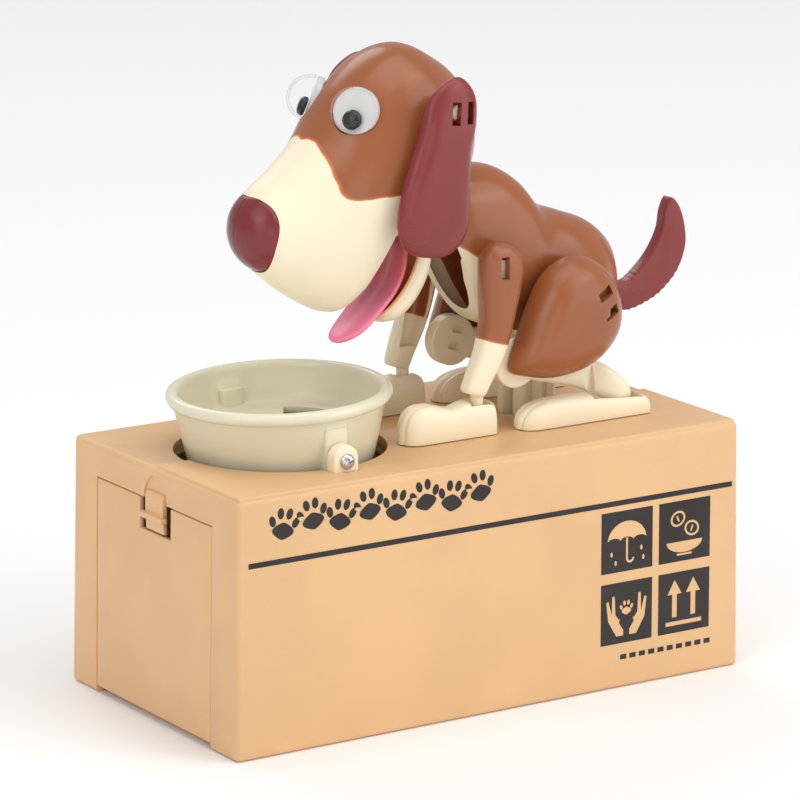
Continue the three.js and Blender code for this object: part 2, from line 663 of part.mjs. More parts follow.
const THIGH_OUTLINE = smooth([
  [36, 118.8], [44, 117.6], [50.9, 112.6], [55.4, 104], [55.4, 96.4], [51.5, 91], [44, 87.2], [33.5, 85.4],
  [24, 86.8], [16.9, 88.8], [18.9, 95], [22.2, 104.5], [27.6, 113.6],
], 24);

function thigh() {
  const centre = [37, 102];
  const inner = LIMB.thighInner;
  const dome = stack(THIGH_OUTLINE, centre, [[inner, 0.97], ...domeLayers(inner - 1, -28.4, 5), [-28.4, 0.12]]);
  const hollowDome = domeLayers(inner - 0.6, -26.6, 3).map(([y, scale]) => [y, scale * 0.9]);
  const hollowLayers = [[inner + 1, 0.9], ...hollowDome, [-26.6, 0.1]];
  const hubs = join(rodY(PIVOT.hip, 5, -27, inner, 20), rodY(PIVOT.knee, 4, -24, inner, 20)).intersect(dome);
  const shell = join(cut(dome, stack(THIGH_OUTLINE, centre, hollowLayers)), hubs);
  const kneePin = rodY(PIVOT.knee, 1.8, inner - 1, -12.6);
  return join(cut(shell, rodY(PIVOT.hip, 3.4, -23.4, -10)), kneePin);
}

addPair('front_leg', frontLeg(), COLOUR.brown);
addPair('shin', shin(), COLOUR.cream);
addPair('thigh', thigh(), COLOUR.brown);

// ---- torso ----

const TORSO = [
  [6, 0, 127, 90, 10.4, 12.8], [10, 0, 125.6, 90, 15.4, 13.6], [16, 0, 122, 90, 20.8, 14.2],
  [25, 0, 119, 90, 23, 15], [32, 0, 115, 90, 23, 15.2], [39, 0, 109, 90, 21.6, 15.2],
  [48, 0, 106, 90, 21, 15.8], [57, 0, 103, 90, 20.4, 15.6],
  [64, 0, 101, 90, 16.4, 13], [68.4, 0, 102, 90, 8.6, 7],
];

function torsoShell(side) {
  const wall = 1.7;
  const outer = loft(TORSO, { around: 16 });
  const belly = [
    [-30, 134], [-4, 123.5], [2.9, 117.6], [7, 113.8], [10.2, 109.8], [12.5, 105], [15, 100.5], [24, 97],
    [45, 94],
    [90, 92], [90, 60], [-30, 60],
  ];
  const ribOutline = [[31, 96.5], [44, 96.5], [44, 132], [31, 132]];
  const [pinX, pinZ] = PIVOT.armPin;
  const ribWindow = block(pinX - 2.6, pinX + 2, -6, 0, pinZ - 11.4, pinZ + 2.2);
  const rib = cut(plate(ribOutline, -4.4, -3).intersect(outer), ribWindow);
  const boss = join(rodY(PIVOT.shoulder, 2.6, -21.2, -12.4), rodY(PIVOT.hip, 2.6, -22.8, -13.6));
  const openShell = cut(outer, loft(inside(TORSO, wall), { around: 12 }));
  const near = half(openShell, -1).subtract(plate(belly, -60, 60));
  const neckSeat = plate([[2, 126], [13, 128], [13, 136], [4, 144], [2, 144]], -4.4, 4.4);
  const tailSeat = block(60, 75, -2.4, 2.4, 94, 109);
  const throat = block(-10, 10.4, -11.8, 11.8, 100, 137);
  const right = cut(join(near, rib, boss), neckSeat, tailSeat, throat);
  return side < 0 ? right : otherSide(right);
}

function neckLink() {
  const [x, z] = PIVOT.neck;
  const outline = [[12.6, 128.4], [12.6, 135.4], [x + 2, z + 3], [x - 3, z], [x - 1, z - 3], [8, 128.4]];
  const stalk = plate(outline, -4, 4);
  return join(stalk, rodY(PIVOT.neck, 3.2, -4, 4), rodY(PIVOT.neck, 1.9, -8.4, 8.4));
}

function tail() {
  const outline = smooth([
    [72.4, 104.6], [77.1, 108.6], [81.6, 115.6], [84, 122.4], [86.4, 126], [89.6, 124.8], [92.6, 119],
    [93.6, 112.6],
    [92, 106], [87.6, 100], [82, 96.6], [76, 95], [70.6, 96.4], [66, 99], [64.8, 103.6], [67, 105],
  ], 26);
  return plate(outline, -2, 2);
}

add('torso_shell_right', torsoShell(-1), COLOUR.brown);
add('torso_shell_left', torsoShell(1), COLOUR.brown);
add('neck_link', neckLink(), COLOUR.cream);
add('tail', tail(), COLOUR.darkRed);

// ---- head ----

const HEAD = [
  [15.4, 0, 153, 90, 4, 4], [12.6, 0, 153, 90, 13, 12.6], [5, 0, 152, 90, 22, 19],
  [-6, 0, 149.6, 90, 28.8, 21.6],
  [-16, 0, 146.6, 90, 31, 21.4], [-25, 0, 140.4, 92, 31.6, 20], [-33, 0, 134.6, 96, 25.6, 17.4],
  [-42, 0, 132, 98, 18.8, 14], [-49, 0, 131.6, 98, 13, 10.6], [-52.4, 0, 131.6, 98, 8, 7],
];
const NOSE = { centre: [-48.7, 0, 131.8], radii: [8.8, 8.8, 9.8] };
const EYE = { centre: [-25, -11, 163.2], axis: [-0.78, -0.5, 0.36], radius: 6.5, wall: 0.6 };

// Turns a piece that was made about +Z so that it stands on the eye's centre, along the eye's axis.
function atEye(geometry) {
  const axis = new THREE.Vector3(...EYE.axis).normalize();
  const turn = new THREE.Quaternion().setFromUnitVectors(new THREE.Vector3(0, 0, 1), axis);
  return solid(geometry.applyQuaternion(turn).translate(...EYE.centre));
}

function eyeLathe(profile, sides = 16) {
  const points = profile.map(([r, z]) => new THREE.Vector2(r, z));
  return atEye(new THREE.LatheGeometry(points, sides).rotateX(Math.PI / 2));
}

function eyeArc(radius, steps, low = 0) {
  return Array.from({ length: steps + 1 }, (_, i) => {
    const turn = (i / steps) * (Math.PI / 2);
    return [i === steps ? 0 : radius * Math.cos(turn), low + radius * Math.sin(turn)];
  });
}

function eyeDome() {
  const { radius, wall } = EYE;
  const outer = [[0, GAP], [radius, GAP], ...eyeArc(radius, 3, GAP).slice(1)];
  const inner = [[0, 0], [radius - wall, 0], ...eyeArc(radius - wall, 3, GAP).slice(1)];
  return eyeLathe(outer).subtract(eyeLathe(inner));
}

function eyeSocket() {
  return eyeLathe([[0, -1.6], [EYE.radius, -1.6], [EYE.radius, 0], [0.9, 0], [0.9, -0.9], [0, -0.9]]);
}

// The loose pupil hangs at the bottom of its dome, on a pivot at the socket's middle.
function eyePupil() {
  const axis = new THREE.Vector3(...EYE.axis).normalize();
  const down = new THREE.Vector3(0, 0, -1).projectOnPlane(axis).normalize().multiplyScalar(2.6);
  const disc = new THREE.CylinderGeometry(2.6, 2.6, 1.2, 14).rotateX(Math.PI / 2).translate(0, 0, 1.2);
  const moved = atEye(disc).translate(down.toArray());
  return join(moved, eyeLathe([[0, -0.6], [0.6, -0.6], [0.6, 1.2], [0, 1.2]]));
}

const HEAD_OPENING = [
  [-21, 98], [-21.6, 109.4], [-20.4, 118], [-16.5, 129], [-12, 133], [-4, 134.6], [4, 137], [10, 144.6],
  [18, 152],
  [34, 152], [34, 98],
];

function headShell(side) {
  const wall = 1.9;
  const outer = loft(HEAD, { around: 18 });
  const shell = cut(outer, loft(inside(HEAD, wall), { around: 12 }), plate(HEAD_OPENING, -60, 60));
  const noseSeat = ellipsoid(NOSE.centre, NOSE.radii.map((r) => r + GAP));
  const eyeSeat = eyeLathe([[0, -1.9], [EYE.radius + GAP, -1.9], [EYE.radius + GAP, 30], [0, 30]]);
  const [neckX, neckZ] = PIVOT.neck;
  const [jawX, jawZ] = PIVOT.jaw;
  const neckRib = block(neckX - 4, neckX + 4, -7.2, -5.6, neckZ - 5, 180).intersect(outer);
  const jawRib = block(jawX - 3.4, jawX + 3.4, -15.4, -13.8, jawZ - 3.4, 180).intersect(outer);
  const ribs = cut(join(neckRib, jawRib), rodY(PIVOT.neck, 2.25, -20, 0), rodY(PIVOT.jaw, 1.85, -20, 0));
  const earPin = rodY(PIVOT.ear, 2.2, -25.6, -17.5);
  const right = join(cut(half(shell, -1), eyeSeat, noseSeat), ribs, earPin);
  return side < 0 ? right : otherSide(right);
}

function nose() {
  const plug = ellipsoid(NOSE.centre, NOSE.radii);
  return plug.subtract(block(-46, -20, -20, 20, 100, 160));
}

const EAR_OUTLINE = smooth([
  [-0.9, 172.1], [4, 167.6], [4.6, 160], [3, 152], [2.5, 140], [1.4, 128.6], [-3.5, 124], [-10, 123.8],
  [-16.4, 126], [-19.6, 131.4], [-18.6, 142], [-14, 155], [-9.4, 167.6],
], 22);

function ear() {
  const centre = [-6, 147];
  const layers = [[-22.4, 0.86], [-23.2, 0.95], [-24.6, 1], [-26, 0.95], [-26.9, 0.84]];
  return cut(stack(EAR_OUTLINE, centre, layers), rodY(PIVOT.ear, 2.5, -26, -20));
}

// The lower jaw is a scoop that hangs open behind the muzzle.
function jaw() {
  const scoop = loft([
    [0, 0, 129.4, 20, 2.2, 9], [-0.8, 0, 124, 10, 3.8, 10.8], [-2.8, 0, 117, 0, 5, 11.2],
    [-6.2, 0, 110.4, -18, 5, 10.6],
    [-10.4, 0, 105.2, -40, 3.6, 8.4], [-12.8, 0, 103.2, -50, 1.6, 4.4],
  ]);
  const hollow = loft([
    [-2.4, 0, 129, 20, 2.4, 7.4], [-3.6, 0, 123.4, 10, 4.6, 9.2], [-5.6, 0, 117, 0, 5.4, 9.6],
    [-8.8, 0, 111.4, -18, 5.2, 9],
    [-12.4, 0, 107.2, -40, 3.4, 7], [-14.6, 0, 105.6, -50, 1.6, 3.4],
  ]);
  return join(cut(scoop, hollow), rodY(PIVOT.jaw, 1.5, -15.6, 15.6), block(-1, 1.6, -8, 8, 125, 129.2));
}

function tongue() {
  return loft([
    [-4.6, 0, 124.6, 10, 1.2, 5], [-6.2, 0, 119, 8, 1.5, 7.4], [-9, 0, 112.6, -8, 1.5, 8],
    [-13.8, 0, 106.9, -28, 1.5, 7.4],
    [-19.6, 0, 101.4, -44, 1.5, 6.4], [-24, 0, 98.6, -56, 1, 3],
  ]);
}

add('head_shell_right', headShell(-1), COLOUR.brown);
add('head_shell_left', headShell(1), COLOUR.brown);
add('nose', nose(), COLOUR.darkRed);
add('jaw', jaw(), COLOUR.cream);
add('tongue', tongue(), COLOUR.pink);
addPair('ear', ear(), COLOUR.darkRed);
addPair('eye_socket', eyeSocket(), COLOUR.white);
addPair('eye_dome', eyeDome(), COLOUR.clear);
addPair('eye_pupil', eyePupil(), COLOUR.black);

export default hound;
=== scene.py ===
import json
import math

import bmesh
import bpy
import numpy as np
from mathutils import Matrix, Vector
from mathutils.bvhtree import BVHTree


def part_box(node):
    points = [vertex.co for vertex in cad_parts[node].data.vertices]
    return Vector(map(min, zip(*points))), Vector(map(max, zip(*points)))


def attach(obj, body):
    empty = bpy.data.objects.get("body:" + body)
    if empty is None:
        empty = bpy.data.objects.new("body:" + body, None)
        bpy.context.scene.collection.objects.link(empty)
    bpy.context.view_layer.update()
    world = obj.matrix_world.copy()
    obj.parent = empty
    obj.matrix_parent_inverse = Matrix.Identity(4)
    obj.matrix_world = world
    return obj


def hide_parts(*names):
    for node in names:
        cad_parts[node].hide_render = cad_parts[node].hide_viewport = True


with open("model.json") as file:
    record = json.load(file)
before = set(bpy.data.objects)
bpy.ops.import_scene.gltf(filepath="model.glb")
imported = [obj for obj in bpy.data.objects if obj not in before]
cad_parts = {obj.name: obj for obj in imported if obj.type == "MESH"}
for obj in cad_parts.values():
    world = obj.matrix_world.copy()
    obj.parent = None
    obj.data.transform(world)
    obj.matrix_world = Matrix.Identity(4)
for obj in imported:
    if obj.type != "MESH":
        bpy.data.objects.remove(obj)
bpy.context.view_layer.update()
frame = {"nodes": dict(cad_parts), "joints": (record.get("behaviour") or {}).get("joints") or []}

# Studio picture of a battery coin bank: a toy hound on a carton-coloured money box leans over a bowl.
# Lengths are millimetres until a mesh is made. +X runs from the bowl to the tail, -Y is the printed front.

MM = 0.001
JOINT = {joint["name"]: joint for joint in frame["joints"]}
SIDES = {"right": -1, "left": 1}


def pivot(joint):
    """[x, z] of a joint whose axis runs along Y."""
    x, _, z = JOINT[joint]["pos_m"]
    return np.array([x, z]) / MM


SHOULDER, KNEE, NECK = (pivot(joint) for joint in ("torso_pitch", "knee_right", "neck_nod"))
JAW, EAR, BOWL, DOOR = (pivot(joint) for joint in ("jaw_chew", "ear_right_swing", "bowl_tip", "door_swing"))
HIP = np.array([46.2, 105.9])  # the linkage is opened at the hips, so no joint stands there
HALF_LENGTH, HALF_WIDTH, FLAP = np.array(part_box("housing_shell")[1]) / MM
TOP = FLAP - 0.8  # the rear half of the box top, which is lower than the front half
DRAFT = 1.0  # how much each wall leans in over the box's height
WALL = 2.2


# ---- meshes ----


def add(name, data):
    """A new object in the scene."""
    made = bpy.data.objects.new(name, data)
    bpy.context.scene.collection.objects.link(made)
    return made


def applied(piece):
    """The mesh of an object with its modifiers applied."""
    graph = bpy.context.evaluated_depsgraph_get()
    return bpy.data.meshes.new_from_object(piece.evaluated_get(graph))


def solid(name, points, faces):
    """A mesh object from points in millimetres, with its faces pointing out."""
    mesh = bpy.data.meshes.new(name)
    mesh.from_pydata([tuple(p) for p in np.asarray(points, float) * MM], [], faces)
    work = bmesh.new()
    work.from_mesh(mesh)
    bmesh.ops.recalc_face_normals(work, faces=work.faces)
    work.to_mesh(mesh)
    work.free()
    return add(name, mesh)


def settle(piece):
    """Applies a piece's modifiers to it."""
    mesh = applied(piece)
    piece.modifiers.clear()
    piece.data = mesh
    return piece


def combine(piece, others, operation):
    """A boolean of a piece with others, which are used up."""
    for other in others:
        change = piece.modifiers.new("change", "BOOLEAN")
        change.operation, change.solver, change.object = operation, "MANIFOLD", other
    settle(piece)
    for other in others:
        bpy.data.objects.remove(other)
    return piece


def cut(piece, *tools):
    return combine(piece, tools, "DIFFERENCE")


def join(piece, *others):
    return combine(piece, others, "UNION")


def keep(piece, *tools):
    return combine(piece, tools, "INTERSECT")


def ease(piece, width, segments=3, angle=35):
    """Rounds the edges that are sharper than angle."""
    bevel = piece.modifiers.new("ease", "BEVEL")
    bevel.width, bevel.segments = width * MM, segments
    bevel.limit_method, bevel.angle_limit = "ANGLE", math.radians(angle)
    bevel.use_clamp_overlap = True
    return settle(piece)


def block(x0, x1, y0, y1, z0, z1, name="block"):
    xs, ys, zs = (x0, x1), (y0, y1), (z0, z1)
    points = [(x, y, z) for x in xs for y in ys for z in zs]
    faces = [(0, 1, 3, 2), (4, 6, 7, 5), (0, 4, 5, 1), (2, 3, 7, 6), (0, 2, 6, 4), (1, 5, 7, 3)]
    return solid(name, points, faces)


def tube_skin(name, rings):
    """A closed surface over rings of points, with the end rings filled."""
    rings = np.asarray(rings, float)
    rows, around = rings.shape[:2]
    faces = []
    for i in range(rows - 1):
        for j in range(around):
            a, b = i * around + j, i * around + (j + 1) % around
            faces.append((a, b, b + around, a + around))
    faces += [tuple(range(around)), tuple(range((rows - 1) * around, rows * around))]
    return solid(name, rings.reshape(-1, 3), faces)


def lathe(name, profile, sides=96):
    """A closed profile of [radius, height] turned about Z."""
    turns = np.linspace(0, 2 * np.pi, sides, endpoint=False)
    points, index = [], []
    for radius, height in profile:
        if radius < 1e-6:
            index.append([len(points)] * sides)
            points.append((0, 0, height))
        else:
            index.append(list(range(len(points), len(points) + sides)))
            points += [(radius * math.cos(t), radius * math.sin(t), height) for t in turns]
    faces = []
    for k in range(len(profile)):
        low, high = index[k], index[(k + 1) % len(profile)]
        for j in range(sides):
            after = (j + 1) % sides
            corners = list(dict.fromkeys([low[j], low[after], high[after], high[j]]))
            if len(corners) > 2:
                faces.append(tuple(corners))
    return solid(name, points, faces)


def place(piece, at=(0, 0, 0), turn=None):
    """Turns a piece about the origin and then moves it, in its mesh."""
    matrix = Matrix.Translation(Vector(at) * MM) @ (turn or Matrix.Identity(4))
    piece.data.transform(matrix)
    piece.data.update()
    return piece


def rod(axis, centre, radius, start, end, sides=48, chamfer=0.0, name="rod"):
    """A round bar along Y or Z. centre is [x, z] for Y, and [x, y] for Z."""
    profile = [(0, start), (radius, start), (radius, end), (0, end)]
    if chamfer:
        profile[1:2] = [(radius - chamfer, start), (radius, start + chamfer)]
        profile[-2:-1] = [(radius, end - chamfer), (radius - chamfer, end)]
    piece = lathe(name, profile, sides)
    if axis == "Z":
        return place(piece, (*centre, 0))
    return place(piece, (centre[0], 0, centre[1]), Matrix.Rotation(math.radians(-90), 4, "X"))


def spline(points, count, closed=False):
    """Points along a smooth curve through the given ones, in any number of dimensions."""
    p = np.asarray(points, float)
    if closed:
        p = np.vstack([p[-1], p, p[0], p[1]])
    else:
        p = np.vstack([2 * p[0] - p[1], p, 2 * p[-1] - p[-2]])
    gaps = np.sqrt(np.maximum(np.linalg.norm(np.diff(p, axis=0), axis=1), 1e-6))
    knots = np.concatenate([[0], np.cumsum(gaps)])
    at = np.linspace(knots[1], knots[-2], count, endpoint=not closed)
    k = np.clip(np.searchsorted(knots, at, side="right") - 1, 1, len(p) - 3)
    slope = np.zeros_like(p)
    before, after = gaps[:-1, None], gaps[1:, None]
    steps = np.diff(p, axis=0)
    slope[1:-1] = (steps[:-1] / before * after + steps[1:] / after * before) / (before + after)
    h = (knots[k + 1] - knots[k])[:, None]
    t = ((at - knots[k])[:, None]) / h
    return (
        (2 * t**3 - 3 * t**2 + 1) * p[k] + (t**3 - 2 * t**2 + t) * h * slope[k]
        + (3 * t**2 - 2 * t**3) * p[k + 1] + (t**3 - t**2) * h * slope[k + 1]
    )


def superellipse(turn, power):
    c, s = np.cos(turn), np.sin(turn)
    return np.sign(c) * np.abs(c) ** (2 / power), np.sign(s) * np.abs(s) ** (2 / power)


def loft(name, sections, around=96, rows=90, power=2.0):
    """A smooth body through sections [x, y, z, tilt in degrees, half height, half width].
    Half sizes are blended by their squares, so that an end which shrinks to nothing is round."""
    s = np.asarray(sections, float)
    form = s.copy()
    form[:, 4:6] = s[:, 4:6] ** 2 / 20
    line = spline(form, rows)
    high, wide = (np.sqrt(np.maximum(line[:, k], 1e-4) * 20) for k in (4, 5))
    tilt = np.radians(line[:, 3])
    up = np.stack([np.cos(tilt), np.zeros(rows), np.sin(tilt)], 1)
    c, w = superellipse(np.linspace(0, 2 * np.pi, around, endpoint=False), power)
    rings = line[:, None, :3] + (high[:, None] * c)[..., None] * up[:, None, :]
    rings[:, :, 1] += wide[:, None] * w
    return tube_skin(name, rings)


def pillow(name, outline, centre, layers):
    """An outline in X and Z stacked up along Y. Each layer is [y, scale about the centre]."""
    flat, centre = np.asarray(outline, float), np.asarray(centre, float)
    rings = []
    for y, scale in layers:
        at = centre + (flat - centre) * scale
        rings.append(np.stack([at[:, 0], np.full(len(at), y), at[:, 1]], 1))
    return tube_skin(name, rings)


def plate(name, outline, y0, y1):
    """A flat piece with an outline in X and Z, between two Y planes."""
    return pillow(name, outline, (0, 0), ((y0, 1), (y1, 1)))


def inset(outline, by):
    """An outline moved inwards by a distance."""
    flat = np.asarray(outline, float)
    tangent = np.roll(flat, -1, 0) - np.roll(flat, 1, 0)
    normal = np.stack([-tangent[:, 1], tangent[:, 0]], 1)
    normal /= np.linalg.norm(normal, axis=1)[:, None] + 1e-9
    area = 0.5 * np.sum(flat[:, 0] * np.roll(flat[:, 1], -1) - np.roll(flat[:, 0], -1) * flat[:, 1])
    return flat + normal * by * np.sign(area)


def mirror(piece, name):
    """The same piece on the other side."""
    copy = add(name, piece.data.copy())
    copy.data.transform(Matrix.Scale(-1, 4, (0, 1, 0)))
    copy.data.flip_normals()
    return copy


def points_of(piece):
    points = np.zeros(len(piece.data.vertices) * 3)
    piece.data.vertices.foreach_get("co", points)
    return points.reshape(-1, 3) / MM


def move_points(piece, points):
    piece.data.vertices.foreach_set("co", (np.asarray(points) * MM).ravel())
    piece.data.update()


def line_distance(points, line):
    """Signed distance from points to a polyline in the plane, positive on its left."""
    points, line = np.asarray(points, float), np.asarray(line, float)
    best, sign = np.full(len(points), 1e9), np.ones(len(points))
    for a, b in zip(line[:-1], line[1:]):
        along = b - a
        t = np.clip(((points - a) @ along) / (along @ along), 0, 1)
        gap = points - (a + t[:, None] * along)
        distance = np.linalg.norm(gap, axis=1)
        side = along[0] * (points[:, 1] - a[1]) - along[1] * (points[:, 0] - a[0])
        nearer = distance < best - 1e-6
        best = np.where(nearer, distance, best)
        sign = np.where(nearer, np.sign(side), sign)
    return best * sign


def paint(piece, distance):
    """Stores how far each vertex is outside the sprayed paint, in millimetres: below zero is painted."""
    layer = piece.data.attributes.new("paint", "FLOAT", "POINT")
    layer.data.foreach_set("value", np.asarray(distance, np.float32))
    return piece


# ---- materials ----

# Noise scales, in waves per metre.
CLOUD, UNEVEN, SINK, SPRAY, STREAK, GRAIN, CARTON_GRAIN = 38.0, 55.0, 70.0, 420.0, 900.0, 2600.0, 1500.0


def tree(name):
    material = bpy.data.materials.new(name)
    material.use_nodes = True
    return material


def feed(material, inputs, values):
    """Each value is what the socket holds, or the socket that feeds it."""
    for key, value in values.items():
        if isinstance(value, bpy.types.NodeSocket):
            material.node_tree.links.new(value, inputs[key])
        else:
            inputs[key].default_value = value


def finish(material, values):
    feed(material, material.node_tree.nodes["Principled BSDF"].inputs, values)
    return material


def node(material, kind, values, **settings):
    """The outputs of a new node."""
    made = material.node_tree.nodes.new(f"ShaderNode{kind}")
    for key, setting in settings.items():
        setattr(made, key, setting)
    feed(material, made.inputs, values)
    return made.outputs


def noise(material, scale, detail):
    where = node(material, "TexCoord", {})["Object"]
    return node(material, "TexNoise", {"Vector": where, "Scale": scale, "Detail": detail})["Fac"]


def spread(material, value, low, high, start=0.3, end=0.7):
    """Maps a value from start..end to low..high."""
    values = {"Value": value, "From Min": start, "From Max": end, "To Min": low, "To Max": high}
    return node(material, "MapRange", values, interpolation_type="SMOOTHSTEP")["Result"]


def blend(material, share, first, second):
    """first and second are colours, or sockets that give one."""
    a, b = (c if isinstance(c, bpy.types.NodeSocket) else (*c, 1) for c in (first, second))
    return node(material, "Mix", {"Factor": share, "A": a, "B": b}, data_type="RGBA")["Result"]


def shaded(material, share, colour, dark, light):
    """A colour that wanders between a darker and a lighter shade."""
    shades = [tuple(min(1.0, channel * by) for channel in colour) for by in (dark, light)]
    return blend(material, share, *shades)


def bump(material, height, strength, distance, **below):
    values = {"Height": height, "Strength": strength, "Distance": distance, **below}
    return node(material, "Bump", values)["Normal"]


def relief(material, grain, grain_scale=GRAIN, waviness=0.0):
    """A moulded surface: fine grain and, with waviness, slight sink marks."""
    normal = bump(material, noise(material, grain_scale, 2.0), grain, 0.00012)
    if waviness:
        normal = bump(material, noise(material, SINK, 1.0), waviness, 0.0006, Normal=normal)
    return normal


def plastic(name, colour, roughness, grain=0.25, grain_scale=GRAIN, mottle=0.06, waviness=0.0, glow=0.0):
    material = tree(name)
    share = spread(material, noise(material, CLOUD, 3.0), 0.0, 1.0)
    values = {
        "Base Color": shaded(material, share, colour, 1 - mottle, 1 + mottle),
        "Roughness": spread(material, noise(material, UNEVEN, 2.0), roughness * 0.86, roughness * 1.14),
        "Normal": relief(material, grain, grain_scale, waviness),
    }
    if glow:
        values["Subsurface Weight"] = glow
        values["Subsurface Radius"] = (1.0, 0.6, 0.35)
        values["Subsurface Scale"] = 0.0015
    return finish(material, values)


def painted(name, under, over, edge, roughness_under, roughness_over):
    """Sprayed plastic. Where the paint value is below zero the paint covers the bare colour,
    with a thin warm line of overspray along its edge."""
    material = tree(name)
    value = node(material, "Attribute", {}, attribute_name="paint")["Fac"]
    wobble = spread(material, noise(material, SPRAY, 2.0), -0.05, 0.05)
    distance = node(material, "Math", {0: value, 1: wobble}, operation="ADD")["Value"]
    share = spread(material, noise(material, CLOUD, 3.0), 0.0, 1.0)
    bare, coat = shaded(material, share, under, 0.965, 1.03), shaded(material, share, over, 0.93, 1.07)
    sprayed = blend(material, spread(material, distance, 0.0, 1.0, -0.6, 0.02), coat, edge)
    level = spread(material, distance, roughness_over, roughness_under, -0.1, 0.2)
    uneven = {0: noise(material, UNEVEN, 2.0), 1: 0.06, 2: level}
    return finish(material, {
        "Base Color": blend(material, spread(material, distance, 0.0, 1.0, 0.02, 0.34), sprayed, bare),
        "Roughness": node(material, "Math", uneven, operation="MULTIPLY_ADD")["Value"],
        "Normal": relief(material, 0.14),
    })


def metal(name, colour, roughness):
    material = tree(name)
    streak = noise(material, STREAK, 4.0)
    return finish(material, {
        "Metallic": 1.0,
        "Base Color": shaded(material, spread(material, streak, 0.0, 1.0), colour, 0.88, 1.08),
        "Roughness": spread(material, streak, roughness * 0.8, roughness * 1.3),
        "Normal": bump(material, streak, 0.3, 0.00005),
    })


def clear(name):
    """A thin clear dome: faint from the front and bright where it turns away."""
    material = tree(name)
    facing = node(material, "LayerWeight", {"Blend": 0.5})["Facing"]
    return finish(material, {
        "Base Color": (0.55, 0.54, 0.55, 1), "Roughness": 0.03, "Specular IOR Level": 1.0,
        "Alpha": spread(material, facing, 0.012, 0.42, 0.5, 1.0),
    })


BROWN, BROWN_EDGE = (0.33, 0.10, 0.034), (0.62, 0.17, 0.03)
CREAM, CARTON, BOWL_CREAM = (0.93, 0.815, 0.60), (0.74, 0.455, 0.225), (0.76, 0.72, 0.54)
PINK, PINK_DEEP, PINK_EDGE = (1.0, 0.26, 0.42), (1.0, 0.20, 0.24), (1.0, 0.23, 0.32)
ORANGE, ORANGE_EDGE = (1.0, 0.27, 0.05), (0.95, 0.42, 0.16)
MATERIAL = {
    "tan": plastic("carton_tan", CARTON, 0.42, 0.5, CARTON_GRAIN, mottle=0.035, waviness=0.05),
    "cream": plastic("cream", CREAM, 0.33, mottle=0.03, glow=0.12),
    "bowl": plastic("bowl_cream", BOWL_CREAM, 0.22, 0.12, mottle=0.03, waviness=0.04, glow=0.06),
    "coat": painted("brown_over_cream", CREAM, BROWN, BROWN_EDGE, 0.34, 0.2),
    "brown": plastic("brown", BROWN, 0.24, 0.14, mottle=0.07),
    "red": plastic("dark_red", (0.225, 0.026, 0.024), 0.25, 0.16, mottle=0.03),
    "nose": plastic("nose_red", (0.19, 0.020, 0.024), 0.24, 0.1, mottle=0.08),
    "tongue": painted("tongue_pink", PINK, PINK_DEEP, PINK_EDGE, 0.3, 0.3),
    "mouth": painted("mouth_orange", CREAM, ORANGE, ORANGE_EDGE, 0.34, 0.35),
    "white": plastic("white", (0.66, 0.64, 0.62), 0.3, mottle=0.05),
    "black": plastic("black", (0.008, 0.008, 0.009), 0.16, mottle=0.1),
    "ink": plastic("ink", (0.016, 0.011, 0.009), 0.55, mottle=0.12),
    "gear": plastic("gear_white", (0.74, 0.72, 0.66), 0.35, mottle=0.04),
    "frame": plastic("gearbox_black", (0.03, 0.03, 0.032), 0.4, mottle=0.1),
    "board": plastic("board_green", (0.03, 0.13, 0.05), 0.35, mottle=0.2),
    "cell": plastic("cell_blue", (0.03, 0.07, 0.22), 0.25, mottle=0.05),
    "steel": metal("steel", (0.62, 0.62, 0.64), 0.22),
    "brass": metal("brass", (0.66, 0.48, 0.2), 0.3),
    "clear": clear("clear"),
}


def put(piece, body, look, *nodes, angle=32):
    """Shades a piece, gives it its look, and ties it to its body and the nodes it stands for."""
    piece.data.polygons.foreach_set("use_smooth", [True] * len(piece.data.polygons))
    piece.data.set_sharp_from_angle(angle=math.radians(angle))
    piece.data.materials.clear()
    piece.data.materials.append(MATERIAL[look])
    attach(piece, body)
    if nodes:
        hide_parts(*nodes)


def span(side, near, far):
    """Lowest and highest Y of something from near to far on one side."""
    return sorted((side * near, side * far))


# ---- money box ----


def drafted(name, half_length, half_width, z0, z1):
    """A block whose walls lean in by DRAFT."""
    piece = block(-half_length, half_length, -half_width, half_width, z0, z1, name)
    points = points_of(piece)
    high = points[:, 2] > (z0 + z1) / 2
    points[high, 0] *= 1 - DRAFT / half_length
    points[high, 1] *= 1 - DRAFT / half_width
    move_points(piece, points)
    return piece


DOOR_HALF, DOOR_LOW, DOOR_HIGH = 30.0, 2.0, 61.0
TAB_Y, TAB_HALF = -0.9, 4.6
BOWL_HOLE = 29.1
END_OUT, END_IN = -90, -79  # reach of a cutting tool through the wall at the bowl's end
LID_LOW, LID_HIGH = TOP - 4, 80  # reach of a cutting tool through the top


def outer_box(name):
    """The box's outer form, with rounded corners."""
    return ease(drafted(name, HALF_LENGTH, HALF_WIDTH, 0.0, TOP), 1.5, 4)


